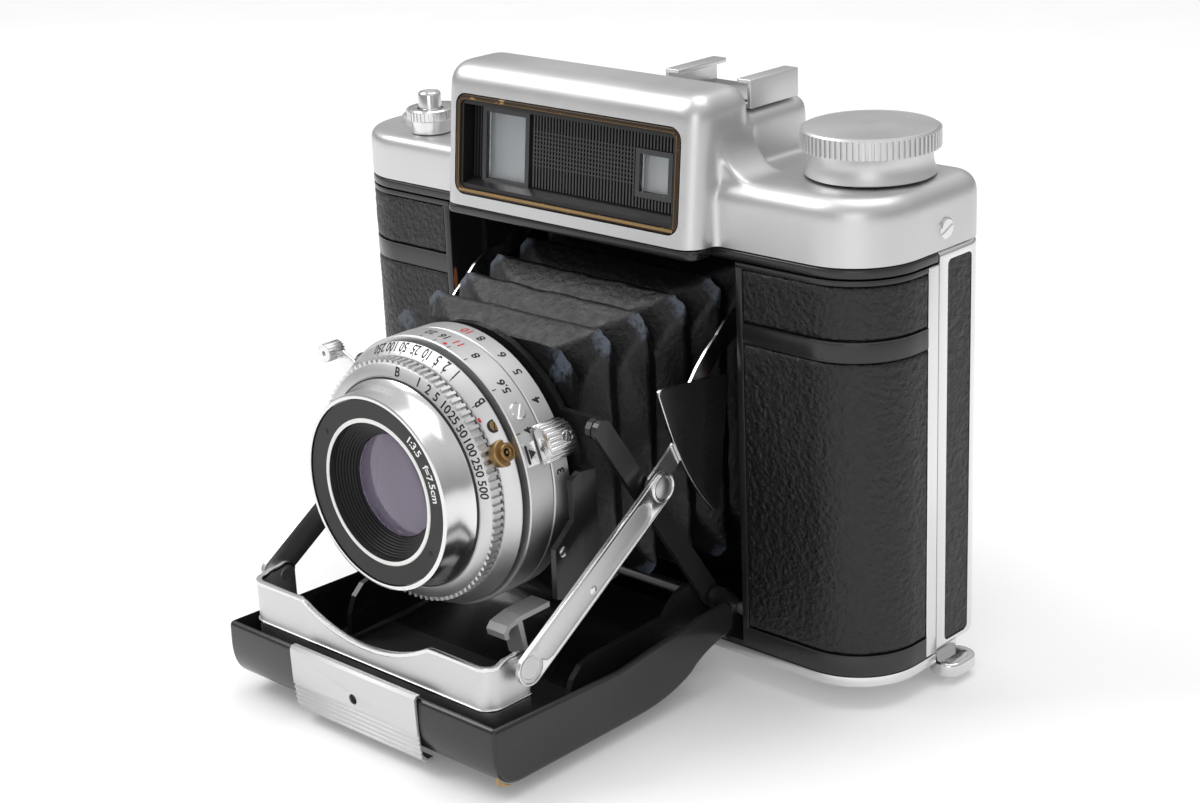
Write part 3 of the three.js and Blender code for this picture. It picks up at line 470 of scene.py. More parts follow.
def leather_panel(name, side, z0, z1, node):
    """Covering with real grain on its outer face and turned edges."""
    step = 0.42
    path = dense(front_path(side, 38.1, -1.1, 0.12), step)
    rows = max(4, int((z1 - z0) / step))
    points, faces = [], []
    for x, y, nx, ny in path:
        for k in range(rows + 1):
            z = z0 + (z1 - z0) * k / rows
            edge = min(k, rows - k) * (z1 - z0) / rows
            sink = 0.35 * max(0, 1 - edge / 0.7) ** 2
            rise = 0.2 * pebble((x, y, z)) - sink
            points.append((x + nx * rise, y + ny * rise, z))
    deep = 0.6
    for x, y, nx, ny in path:
        for k in range(rows + 1):
            points.append((x - nx * deep, y - ny * deep, z0 + (z1 - z0) * k / rows))
    width, half = rows + 1, len(path) * (rows + 1)
    for i in range(len(path) - 1):
        for k in range(rows):
            a = i * width + k
            faces.append((a, a + width, a + width + 1, a + 1))
            faces.append((a + half, a + half + 1, a + half + width + 1, a + half + width))
    last = (len(path) - 1) * width
    for k in range(rows):
        faces.append((k, k + 1, k + 1 + half, k + half))
        faces.append((last + k, last + k + half, last + k + 1 + half, last + k + 1))
    for i in range(len(path) - 1):
        a, b = i * width, i * width + rows
        faces.append((a, a + half, a + half + width, a + width))
        faces.append((b, b + width, b + half + width, b + half))
    return add(name, points, faces, PEBBLE, "camera_body", replaces=(node,), slot="leather", angle=60)


def flat_leather(name, node, axis, body):
    """Flat covering over a CAD panel, with real grain on its outer face."""
    lo, hi = [Vector(p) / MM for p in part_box(node)]
    step = 0.6
    u = 1 if axis == 0 else 0
    columns, rows = int((hi[u] - lo[u]) / step), int((hi[2] - lo[2]) / step)
    outward = 1 if (lo[axis] + hi[axis]) > 0 else -1
    face_at = hi[axis] if outward > 0 else lo[axis]
    back_at = lo[axis] if outward > 0 else hi[axis]
    points, faces = [], []
    for layer in range(2):
        for i in range(columns + 1):
            for k in range(rows + 1):
                p = [0, 0, 0]
                p[u] = lo[u] + (hi[u] - lo[u]) * i / columns
                p[2] = lo[2] + (hi[2] - lo[2]) * k / rows
                sample = (p[0], p[1] + 50, p[2])
                p[axis] = back_at if layer else face_at - outward * (0.13 - 0.13 * pebble(sample))
                points.append(tuple(p))
    width, half = rows + 1, (columns + 1) * (rows + 1)
    for i in range(columns):
        for k in range(rows):
            a = i * width + k
            faces.append((a, a + width, a + width + 1, a + 1))
            faces.append((a + half, a + half + 1, a + half + width + 1, a + half + width))
    border = [i * width for i in range(columns)] + [columns * width + k for k in range(rows)]
    border += [i * width + rows for i in range(columns, 0, -1)] + [k for k in range(rows, 0, -1)]
    for a, b in zip(border, border[1:] + border[:1]):
        faces.append((a, b, b + half, a + half))
    return add(name, points, faces, PEBBLE, body, replaces=(node,), slot="leather", angle=60)


def body_bands():
    for name, z0, z1, cap in (("band_low", 2.05, 5.95, 0.35), ("band_middle", 61.35, 64.95, 0.35),
                              ("band_top", 75.05, 75.85, 0.15)):
        for side, hand in ((-1, "left"), (1, "right")):
            path = front_path(side, 36.45, -0.85, -0.02)
            inner = [(x - nx * 0.7, y - ny * 0.7) for x, y, nx, ny in path]
            outline = [(x, y) for x, y, _, _ in path] + inner[::-1]
            prism(f"{name}_{hand}", outline, "z", z0, z1, BLACK, "camera_body", slot="black_paint",
                  bevel=cap, segments=3)
    for side, hand in ((-1, "left"), (1, "right")):
        xs = sorted((side * 36.35, side * 37.95))
        block(f"opening_edge_{hand}", *xs, FRONT - 0.03, -15.6, 5.9, 75.2, BLACK, "camera_body",
              slot="black_paint", bevel=0.3, segments=3)
        xs = sorted((side * 65.3, side * 66.02))
        block(f"side_strip_{hand}", *xs, -0.6, 2.3, 2.05, 75.85, BRIGHT, "camera_body",
              replaces=(f"side_trim_{hand}",), slot="bright_metal", bevel=0.25, segments=3)


def wear_marks():
    """Bare primer where the bed rubs the edge of the opening."""
    for i, (x, z, long) in enumerate(((36.33, 40, 9), (36.33, 52, 4), (36.33, 20, 3), (-36.33, 60, 5))):
        points = []
        for k in range(14):
            turn = TAU * k / 14
            reach = 1 + 0.35 * noise.noise(Vector((k * 1.3, i * 5.1, 0.4)))
            points.append((-16.3 + 0.45 * math.cos(turn) * reach, z + long / 2 * math.sin(turn) * reach))
        prism(f"edge_wear_{i}", points, "x", x - 0.02, x + 0.02, WORN, "camera_body")


def bottom_plate():
    points = prism_data(plan(0, 2.3), "z", 0, 1.8)
    plate = add("bottom_cover", *points, BRIGHT, None)
    rear = prism("rear", rect(-62, 62, 0.5, BACK - 0.2, 4, 8), "z", 0, 1.8, BRIGHT, None)
    cut(plate, rear, operation="UNION")
    holes = [lathe("hole", [(0, -1), (r, -1), (r, 3), (0, 3)], (x, y, 0), "z", BRIGHT, None, 64)
             for x, y, r in ((KNOB_X, KNOB_Y, 9.6), (-46, 0, 6.3))]
    cut(plate, *holes)
    round_edges(plate, 0.25, 2, 50)
    settle(plate)
    dress(plate, "camera_body", ("bottom_plate",), "bright_metal")


# ------------------------------------------------------------------ top cover
def smooth_cover():
    """The pressed top: shoulders, leaning hood and rear block blended by remeshing and relaxing."""
    raised = []
    for side, top, bevel in ((-1, LEFT_TOP, 1.6), (1, RIGHT_TOP, 3.6)):
        half = [(x, y) for x, y in plan(0, BACK, 5) if x * side > -1e-6]
        outline = [(0, FRONT)] + half + [(0, BACK)] if side > 0 else [(0, BACK)] + half + [(0, FRONT)]
        raised.append(prism("shoulder", outline, "z", 66, top, SATIN, None, bevel=bevel, segments=5))
    hood = hood_form()
    rear = prism("rear", rect(-31, 31, -8, 12.5, 3.5, 6), "z", 70, 99.8, SATIN, None, bevel=2.6, segments=4)
    flare = [(28, 80), (39.8, 80), (39.8, 90)] + arc(39.8, 97.5, 7.6, 270, 180, 12) + [(28, 97.5)]
    flare = prism("flare", flare, "y", -15.6, -5.5, SATIN, None, bevel=0.5)
    whole = raised[0]
    cut(whole, raised[1], hood, rear, flare, operation="UNION")
    remesh = whole.modifiers.new("grid", "REMESH")
    remesh.mode = "VOXEL"
    remesh.voxel_size = 0.55 * MM
    relax = whole.modifiers.new("relax", "SMOOTH")
    relax.factor = 0.5
    relax.iterations = 14
    settle(whole, 180)
    return whole


def hood_form():
    """The hood's block, its front leaning back toward the top."""
    radius = 4.4
    outline = rect(-HOOD_HALF, HOOD_HALF, HOOD_FRONT, -5, 4.2, 8)
    points, faces = prism_data(outline, "z", 66, HOOD_TOP)
    hood = add("hood", points, faces, SATIN, None)
    round_edges(hood, radius, 8, 60)
    settle(hood)
    for vertex in hood.data.vertices:
        _, y, z = vertex.co / MM
        if y < -12:
            vertex.co.y += LEAN * (z - COVER_LOW) * MM
    return hood


def window_matrix():
    """Origin and turn of the leaning finder window."""
    face = HOOD_FRONT + LEAN * (WINDOW_Z - COVER_LOW)
    return Vector((0, face, WINDOW_Z)), Matrix.Rotation(-math.atan(LEAN), 3, "X")


def top_cover():
    cover = smooth_cover()
    origin, turn = window_matrix()
    below = block("below", -90, 90, -60, 60, 40, COVER_LOW, SATIN, None)
    data = prism_data(rect(-28.2, 28.2, -9.6, 9.6, 2.5), "y", -9, 5)
    opening = add("opening", *oriented(data, origin, turn), SATIN, None)
    hollow = prism("hollow", plan(1.6, BACK - 1.6, 3.5), "z", 60, LEFT_TOP - 2, SATIN, None)
    eye = lathe("eye", [(0, 8), (4.3, 8), (4.3, 20), (0, 20)], EYE_AT, "y", SATIN, None, 48)
    shaft = lathe("shaft", [(0, 60), (3, 60), (3, 100), (0, 100)], (KNOB_X, KNOB_Y, 0), "z", SATIN, None, 32)
    press = lathe("press", [(0, 60), (2.4, 60), (2.4, 100), (0, 100)], RELEASE_AT, "z", SATIN, None, 32)
    cut(cover, below, opening, hollow, eye, shaft, press)
    cover.data.set_sharp_from_angle(angle=math.radians(50))
    cover.name = "pressed_top"
    repaint(cover, SATIN)
    dress(cover, "camera_body", ("top_cover",), "satin_metal")
    prism("trim_plate", plan(-0.02, 2.3), "z", 76.1, 78, BLACK, "camera_body", replaces=("top_trim",),
          slot="black_paint", bevel=0.5, segments=3)
    brow = rect(-31.4, 31.4, HOOD_FRONT + 0.4, -16, 2, 6)
    prism("trim_brow", brow, "z", 76.15, 77.95, BLACK, "camera_body", slot="black_paint", bevel=0.5,
          segments=3)
    seat = [(5.7, 86.6), (7, 86.6), (7, 88.2), (6.8, 88.4), (6.2, 88.5), (6.2, 89.3), (6, 89.5), (5.7, 89.5)]
    lathe("counter_rim", seat, COUNTER_AT, "z", SATIN, "camera_body", 96, True, slot="satin_metal")


def finder_window():
    origin, turn = window_matrix()

    def piece(name, parts, look, **options):
        data = ([], [])
        for part_points, part_faces in parts:
            start = len(data[0])
            data[0].extend(part_points)
            data[1].extend(tuple(i + start for i in f) for f in part_faces)
        return add(name, *oriented(data, origin, turn), look, "camera_body", **options)

    outer = prism_data(rect(-28, 28, -9.4, 9.4, 2.3, 8), "y", 0, 1.8)
    frame_ring = add("ring", *oriented(outer, origin, turn), BRASS, None)
    inner = prism_data(rect(-27, 27, -8.4, 8.4, 1.7, 8), "y", -2, 4)
    cut(frame_ring, add("inner", *oriented(inner, origin, turn), BRASS, None))
    round_edges(frame_ring, 0.28, 3, 50)
    settle(frame_ring)
    repaint(frame_ring, BROWNED)
    frame_ring.name = "brass_surround"
    dress(frame_ring, "camera_body", ("window_frame",), "brass")
    x0, x1, gap0, gap1 = -22.5, -12.2, 16.4, 23.2
    walls = [prism_data(rect(-27, -26.3, -8.3, 8.3), "y", 0.4, 4.4),
             prism_data(rect(26.3, 27, -8.3, 8.3), "y", 0.4, 4.4),
             prism_data(rect(-26.3, 26.3, 7.6, 8.3), "y", 0.4, 4.4),
             prism_data(rect(-26.3, 26.3, -8.3, -7.6), "y", 0.4, 4.4)]
    spans = [(-26.3, x0, -7.6, 7.6), (x0, x1, 6.3, 7.6), (x0, x1, -7.6, -6.3), (x1, gap0, -7.6, 7.6),
             (gap0, gap1, 3.4, 7.6), (gap0, gap1, -7.6, -3.4), (gap1, 26.3, -7.6, 7.6)]
    plates = [prism_data(rect(*span), "y", 3.6, 4.4) for span in spans]
    # The mask takes the darkest black, so the gaps between the lighter ribs show as painted shade
    piece("finder_mask", walls + plates, DEEP, replaces=("window_mask",), slot="black_paint", angle=30)
    sill = [(-26.2, 0.45, -7.55), (26.2, 0.45, -7.55), (26.2, 3.6, -6.5), (-26.2, 3.6, -6.5)]
    points = sill + [(x, y, z - 0.3) for x, y, z in sill]
    sides = [(0, 1, 2, 3), (7, 6, 5, 4), (0, 4, 5, 1), (1, 5, 6, 2), (2, 6, 7, 3), (3, 7, 4, 0)]
    piece("mask_sill", [(points, sides)], LIT_MASK_BLACK, slot="black_paint")
    edge = [prism_data(rect(-27, 27, -9.0, -8.5), "y", -0.06, 0.3),
            prism_data(rect(-26.8, 26.8, 8.5, 8.58), "y", -0.05, 0.3),
            prism_data(rect(-27.2, -27.1, -8.2, 8.2), "y", -0.05, 0.3),
            prism_data(rect(27.1, 27.2, -8.2, 8.2), "y", -0.05, 0.3)]
    piece("rubbed_edge", edge, BRASS, slot="brass")
    ribs = []
    pitch = 0.78
    for index in range(int(52 / pitch)):
        start = -26 + index * pitch
        spans = [(-6.4, 7.5)]
        if x0 - 1.7 < start < x1 + 1.1:
            spans = []
        if gap0 - 1.7 < start < gap1 + 1.1:
            spans = [(-6.4, -4.5), (4.5, 7.5)]
        ribs += [prism_data(rect(start, start + 0.36, 3.0, 3.62), "z", *span) for span in spans]
    for index in range(9):
        level = -2.4 + index * pitch
        ridge = [(3.3, level), (3.05, level + 0.12), (3.05, level + 0.3), (3.3, level + 0.42)]
        ribs.append(prism_data(ridge, "x", x1 + 1.6, gap0 - 1.6))
    piece("finder_ribs", ribs, LIT_MASK_BLACK, slot="black_paint", angle=20)
    rim = 1.0
    for name, (a, b, c, d) in {"finder_rim": (x0, x1, -6.3, 6.3),
                               "range_rim": (gap0, gap1, -3.4, 3.4)}.items():
        bars = [(a - rim, a, c - rim, d + rim), (b, b + rim, c - rim, d + rim), (a, b, d, d + rim),
                (a, b, c - rim, c)]
        piece(name, [prism_data(rect(*bar), "y", 2.7, 3.7) for bar in bars], LIT_MASK_BLACK, slot="black_paint")
    piece("finder_pane", [prism_data(rect(x0 + 0.05, x1 - 0.05, -6.25, 6.25), "y", 3.5, 4.2)], CLEAR,
          replaces=("viewfinder_glass",), slot="clear_glass")
    piece("range_pane", [prism_data(rect(gap0 + 0.05, gap1 - 0.05, -3.35, 3.35), "y", 3.5, 4.2)], CLEAR,
          replaces=("rangefinder_glass",), slot="clear_glass")
    # Grey sheets behind the panes paint in the windows' reflection
    piece("finder_reflection_sheet", [prism_data(rect(x0 - 1, x1 + 1, -7, 7), "y", 6.2, 6.8)], WINDOW_REFLECTION_GREY)
    piece("range_reflection_sheet", [prism_data(rect(gap0 - 1, gap1 + 1, -4.5, 4.5), "y", 6.2, 6.8)], WINDOW_REFLECTION_GREY)


# ------------------------------------------------------------------ controls
def advance_knob():
    base = KNOB_TOP - 3.6
    rim = moved(prism_data(toothed(KNOB_R, 0.38, 72), "z", base, KNOB_TOP - 0.45), KNOB_X, KNOB_Y)
    profile = [(0, 73), (2.4, 73), (2.4, 90.42), (11.5, 90.42), (11.6, 90.6), (11.3, 91.3), (11, 92.2),
               (10.9, 93.2), (11, 94.2), (11.3, base - 0.2), (11.9, base), (12, base + 0.2),
               (12, KNOB_TOP - 0.5), (11.75, KNOB_TOP - 0.15), (11.3, KNOB_TOP)]
    radius = 11.0
    while radius > 0.5:
        profile += [(radius, KNOB_TOP - 0.06), (radius - 0.18, KNOB_TOP - 0.1)]
        radius -= 0.36
    profile.append((0, KNOB_TOP - 0.08))
    core = lathe_data(profile, (KNOB_X, KNOB_Y, 0), "z", 128)
    merged("wind_knob", [rim, core], TURNED, "advance", replaces=("advance_knob",), slot="bright_metal")
    knurled = moved(prism_data(toothed(9.2, 0.35, 52), "z", -4.25, -0.8), KNOB_X, KNOB_Y)
    stem = lathe_data([(0, -4.6), (8.4, -4.6), (8.75, -4.3), (8.8, -0.5), (2.2, -0.5), (2.2, 6.9), (0, 6.9)],
                      (KNOB_X, KNOB_Y, 0), "z", 96)
    merged("spool_pull", [knurled, stem], TURNED, "lower_knob", replaces=("bottom_knob",),
           slot="bright_metal")


def release():
    ring = lathe_data([(2.6, 87.2), (3.9, 87.2), (3.9, 89.6), (4.3, 89.9), (4.4, 91.7), (4.1, 91.95),
                       (2.7, 91.95), (2.6, 91.8)], RELEASE_AT, "z", 72, True)
    merged("collar", [ring], BRIGHT, "collar", replaces=("release_collar",), slot="bright_metal")
    flutes = prism_data(toothed(4.68, 0.28, 34), "z", 89.9, 91.55)
    shell = add("collar_grip", *moved(flutes, *RELEASE_AT[:2]), BRIGHT, None)
    hole = lathe("hole", [(0, 80), (4.2, 80), (4.2, 99), (0, 99)], RELEASE_AT, "z", BRIGHT, None, 64)
    cut(shell, hole)
    dress(shell, "collar", (), "bright_metal")
    lathe("shutter_button", [(0, 80), (1.5, 80), (1.5, 90), (2.2, 90.1), (2.3, 94.6), (2.15, 95), (1.9, 95.2),
                             (1.5, 95.15), (0.9, 94.7), (0, 94.45)], RELEASE_AT, "z", BRIGHT, "release", 64,
          replaces=("release_button",), slot="bright_metal")
    lathe("frame_dial", [(0, 85.8), (1.2, 85.8), (1.2, 88), (5, 88), (5.2, 88.15), (5.2, 88.6), (5.05, 88.7),
                         (0, 88.7)], COUNTER_AT, "z", TURNED, "counter", 96, replaces=("counter_dial",),
          slot="satin_metal")
    for number in range(1, 13):
        turn = TAU * number / 12
        label(str(number), 1.15, f"dial_{number}", INK, "counter",
              lambda x, y, t=turn: (COUNTER_AT[0] + (4.1 + y) * math.sin(t) + x * math.cos(t),
                                    COUNTER_AT[1] + (4.1 + y) * math.cos(t) - x * math.sin(t), 88.72))


def shoe():
    x0, x1, z0, z1 = 10.5, 30.5, 100.0, 105.2
    outline = [(x0, z0), (x1, z0), (x1, z1), (x1 - 3.2, z1), (x1 - 3.2, z1 - 0.9), (x1 - 0.9, z1 - 0.9),
               (x1 - 0.9, z0 + 0.9), (x0 + 0.9, z0 + 0.9), (x0 + 0.9, z1 - 0.9), (x0 + 3.2, z1 - 0.9),
               (x0 + 3.2, z1), (x0, z1)]
    channel = prism("cold_shoe", outline, "y", -4.7, 8.8, SATIN, None)
    round_edges(channel, 0.22, 3)
    settle(channel)
    dress(channel, "camera_body", ("accessory_shoe",), "satin_metal")
    spring = [(x0 + 1.4, 101.1), (x1 - 1.4, 101.1), (x1 - 1.4, 101.4), (x0 + 1.4, 101.4)]
    prism("shoe_spring", spring, "y", -3.2, 7.4, BRIGHT, "camera_body", slot="bright_metal", bevel=0.1)
    eye = [(2.6, 9.6), (3.8, 9.6), (3.8, 12.8), (4.9, 12.8), (4.9, 13.6), (4.5, 14.2), (3.2, 14.2),
           (2.6, 13.4)]
    lathe("eye_ring", eye, EYE_AT, "y", BLACK, "camera_body", 72, True, replaces=("eyepiece",),
          slot="black_paint")
    lathe("eye_glass", [(0, 11), (2.7, 11), (2.7, 11.8), (0, 12)], EYE_AT, "y", CLEAR, "camera_body", 48,
          slot="clear_glass")


def screw(name, centre, axis_frame, radius, height, look, body, slot_turn=0.0, **options):
    """Slotted screw head standing on a face, whose axis_frame is (u, v, outward)."""
    u, v, w = [Vector(a).normalized() for a in axis_frame]
    profile = [(0, -0.4), (radius, -0.4), (radius, height * 0.6), (radius * 0.86, height), (0, height * 1.05)]
    head = lathe(name, profile, centre, (u, v, w), look, None, 40)
    slit = rect(-radius * 1.2, radius * 1.2, -radius * 0.13, radius * 0.13)
    slit = prism_data(slit, "z", height * 0.45, height * 2)
    basis = Matrix((u, v, w)).transposed() @ Matrix.Rotation(slot_turn, 3, "Z")
    cut(head, add("slot", *oriented(slit, centre, basis), look, None))
    return dress(head, body, **options)


# ------------------------------------------------------------------ lettering
def label(text, size, name, look, body, place):
    """Raised figures: the flat text is built once, then each point goes where place(x, y) puts it."""
    curve_data = bpy.data.curves.new(name, "FONT")
    curve_data.body = text
    curve_data.size = size
    curve_data.offset = 0.02 * size
    curve_data.align_x = "CENTER"
    curve_data.align_y = "CENTER"
    curve_data.resolution_u = 3
    holder = bpy.data.objects.new(name, curve_data)
    bpy.context.scene.collection.objects.link(holder)
    graph = bpy.context.evaluated_depsgraph_get()
    flat = bpy.data.meshes.new_from_object(holder.evaluated_get(graph))
    points = [Vector(place(v.co.x, v.co.y)) for v in flat.vertices]
    faces = [tuple(p.vertices) for p in flat.polygons]
    bpy.data.objects.remove(holder)
    mesh = bpy.data.meshes.new(name)
    mesh.from_pydata([p * MM for p in points], [], faces)
    mesh.materials.append(look)
    piece = bpy.data.objects.new(name, mesh)
    bpy.context.scene.collection.objects.link(piece)
    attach(piece, body)
    return piece


def on_face(angle, radius, behind):
    """Maps flat figures onto a front face, with their tops outward."""
    def place(x, y):
        r = radius + y
        turn = angle - x / radius
        return (r * math.cos(turn), LENS_Y + behind, LENS_Z + r * math.sin(turn))
    return place


def behind_view(angle, behind, radius_at):
    """Figures read from behind the camera: tops toward the front, running the other way round."""
    def place(x, y):
        b = behind - y
        radius = radius_at(b) + FIGURE_LIFT
        turn = angle + x / radius
        return (radius * math.cos(turn), LENS_Y + b, LENS_Z + radius * math.sin(turn))
    return place


# ------------------------------------------------------------------ back
def back_door():
    shell = prism("shell", plan(0, BACK, 5), "z", 2.1, 77.9, BRIGHT, None, bevel=0.9, segments=4)
    inner = prism("inner", plan(1.4, BACK - 1.4, 3.6), "z", 0, 80, BRIGHT, None)
    front = block("front", -80, 80, -40, 2.5, -2, 82, BRIGHT, None)
    panel = prism("panel", rect(-57, 57, 6, 73, 2), "y", 16.3, 19, BRIGHT, None)
    ends = [prism("end", rect(5, 12.2, 3.4, 76, 1), "x", *sorted((side * 65.2, side * 68)), BRIGHT, None)
            for side in (-1, 1)]
    cut(shell, inner, front, panel, *ends)
    round_edges(shell, 0.2, 2, 50)
    settle(shell)
    shell.name = "hinged_back"
    dress(shell, "back", ("back_door",), "bright_metal")
    flat_leather("back_panel", "back_leather", 1, "back")
    flat_leather("back_end_left", "door_leather_left", 0, "back")
    flat_leather("back_end_right", "door_leather_right", 0, "back")
    lip = prism_data(rect(62.4, 69, 3.4, 12.6, 3, 8), "z", -3.4, -0.6)
    pull = add("pull", *lip, BRIGHT, None, bevel=0.6, segments=4)
    tongue = block("tongue", 62.6, 64.3, 5, 11, -2, 6, BRIGHT, None)
    cut(pull, tongue, operation="UNION")
    cut(pull, block("notch", 66, 67, 5, 11, -5, 0, BRIGHT, None))
    pull.name = "back_pull"
    dress(pull, "latch", ("back_latch",), "bright_metal")


# ------------------------------------------------------------------ bellows
def ring_points(half_x, half_z, chamfer, side_steps, corner_steps):
    """Rectangle with cut corners, as evenly stepped (X, Z) points round the lens axis."""
    stops = [(half_x, -half_z + chamfer), (half_x, half_z - chamfer), (half_x - chamfer, half_z),
             (-half_x + chamfer, half_z), (-half_x, half_z - chamfer), (-half_x, -half_z + chamfer),
             (-half_x + chamfer, -half_z), (half_x - chamfer, -half_z)]
    made = []
    for i, (start, end) in enumerate(zip(stops, stops[1:] + stops[:1])):
        count = side_steps if i % 2 == 0 else corner_steps
        for k in range(count):
            t = k / count
            made.append((start[0] + (end[0] - start[0]) * t, start[1] + (end[1] - start[1]) * t, i % 2))
    return made


def bellows():
    folds, per_fold = 6, 16
    front, back = -44.6, low("bellows", 1) + (high("bellows", 1) - low("bellows", 1)) - 0.1
    points, wear, rings = [], [], []
    for step in range(folds * per_fold + 1):
        share = step / (folds * per_fold)
        phase = (step / per_fold) % 1
        rise = abs(1 - 2 * phase) ** 0.8
        drop = 3.3 * (1 - rise)
        y = front + (back - front) * share
        wide, tall = 22.2 + 5.2 * share, 22.9 + 7.4 * share
        ring = ring_points(wide - drop, tall - drop, 2.2 + 4.2 * (1 - rise), 22, 6)
        rings.append(list(range(len(points), len(points) + len(ring))))
        for x, z, corner in ring:
            soft = noise.noise(Vector((x * 0.16, y * 0.3, z * 0.16 + 9))) * 0.5
            soft += noise.noise(Vector((x * 0.6, y * 0.9, z * 0.6))) * (0.6 if corner else 0.16)
            size = 1 + min(0.2, soft) * 0.02
            points.append((x * size, y + (soft * 0.7 if 0 < step < folds * per_fold else 0),
                           LENS_Z + z * size))
            edge = max(0, rise - 0.55) / 0.45
            reach = abs(x) / wide * abs(z) / tall
            wear.append(edge * max(0, (reach - 0.55) / 0.45) + (0.5 * edge if corner else 0))
    inner = []
    for share, y in ((0, front), (1, back)):
        ring = ring_points(15 + 7.4 * share, 15 + 8.8 * share, 1, 22, 6)
        inner.append(list(range(len(points), len(points) + len(ring))))
        points += [(x, y, LENS_Z + z) for x, z, _ in ring]
        wear += [0] * len(ring)
    loops = rings + [inner[1], inner[0], rings[0]]
    faces = []
    count = len(rings[0])
    for first, second in zip(loops, loops[1:]):
        faces += [(first[i], first[(i + 1) % count], second[(i + 1) % count], second[i])
                  for i in range(count)]
    piece = add("pleated_bellows", points, faces, PLEAT_WORN, "camera_body", replaces=("bellows",),
                slot="bellows_cloth", angle=70)
    attribute = piece.data.attributes.new("wear", "FLOAT", "POINT")
    attribute.data.foreach_set("value", wear[:len(piece.data.vertices)])
    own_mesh(piece)


def worn_pleat():
    made = PLEAT.copy()
    made.name = "bellows_worn"
    nodes, links = made.node_tree.nodes, made.node_tree.links
    shader = nodes["Principled BSDF"]
    plain = shader.inputs["Base Color"].links[0].from_socket
    worn = nodes.new("ShaderNodeAttribute")
    worn.attribute_name = "wear"
    speckle = textured(nodes, links, "ShaderNodeTexNoise", 900, 6)
    product = nodes.new("ShaderNodeMath")
    product.operation = "MULTIPLY"
    links.new(worn.outputs["Fac"], product.inputs[0])
    links.new(speckle.outputs["Fac"], product.inputs[1])
    mask = ramp(nodes, links, product.outputs[0], [(0.24, (0, 0, 0)), (0.5, (1, 1, 1))])
    mix = nodes.new("ShaderNodeMix")
    mix.data_type = "RGBA"
    links.new(mask, mix.inputs["Factor"])
    links.new(plain, mix.inputs["A"])
    mix.inputs["B"].default_value = (0.07, 0.085, 0.11, 1)
    links.new(mix.outputs["Result"], shader.inputs["Base Color"])
    return made


PLEAT_WORN = worn_pleat()


# ------------------------------------------------------------------ bed
def bed_shell():
    top = [(-80.2, 9.8)]
    under = [(-80.3, 5.5)] + curve((-80.3, 5.5), (-80.2, -2), (-74, -2), 10) + [(-45, -2)]
    under += curve((-45, -2), (-36, -2), (-30, 1), 8)
    under += curve((-30, 1), (-26.6, 3.8), (-19.7, 4.9), 8) + [(-18, 5.3)]
    crest = [(-17.8, 8.6), (-18.1, 10.2), (-19.5, 11.5), (-27.8, 11.3), (-49.4, 8.9)]
    shell = prism("shell", top + under + crest, "x", -35.3, 35.3, BLACK, None, bevel=1.1, segments=5)
    inside = [(-79.4, 30), (-79.4, 5.5)] + curve((-79.4, 5.5), (-79.3, -1.2), (-74, -1.2), 10) + [(-45, -1.2)]
    inside += curve((-45, -1.2), (-36, -1.2), (-30, 1.8), 8)
    inside += curve((-30, 1.8), (-26.8, 4.6), (-19.7, 5.7), 8) + [(-10, 7.6), (-10, 30)]
    hollow = prism("hollow", inside, "x", -34.5, 34.5, BLACK, None)
    slots = [block("slot", *sorted((side * 29.5, side * 33.3)), -27, -15, 1, 9, BLACK, None)
             for side in (-1, 1)]
    cut(shell, hollow, *slots)
    round_edges(shell, 0.18, 2, 50)
    settle(shell)
    shell.name = "bed_shell"
    dress(shell, "bed", ("bed_door",), "black_paint")
    prism("bed_floor", rect(-33.5, 33.5, -74, -46, 1), "z", -1.19, -1.05, DIMPLED, "bed", slot="black_paint")
    chip = [(-79.6, 0.6), (-79.5, -0.9), (-77.6, -1.7), (-76.4, -2.02), (-78.2, -1.0)]
    prism("corner_wear", chip, "x", 34.35, 34.75, WORN_BRASS, "bed")


def dimpled():
    made, nodes, links, shader = new_material("dimpled_floor")
    cells = textured(nodes, links, "ShaderNodeTexVoronoi", 900)
    cells.inputs["Randomness"].default_value = 0
    links.new(ramp(nodes, links, cells.outputs["Distance"], [(0.1, (0.004,)), (0.6, (0.014,))]),
              shader.inputs["Base Color"])
    links.new(ramp(nodes, links, cells.outputs["Distance"], [(0.1, (0.5,)), (0.6, (0.7,))]),
              shader.inputs["Roughness"])
    bump(nodes, links, shader, cells.outputs["Distance"], 0.7, 0.15)
    return made


DIMPLED = dimpled()
WORN_BRASS = finish_of("bare_brass", (0.5, 0.33, 0.14), 0.45, 0.8, grain=500, spread=0.3, height=0.05)


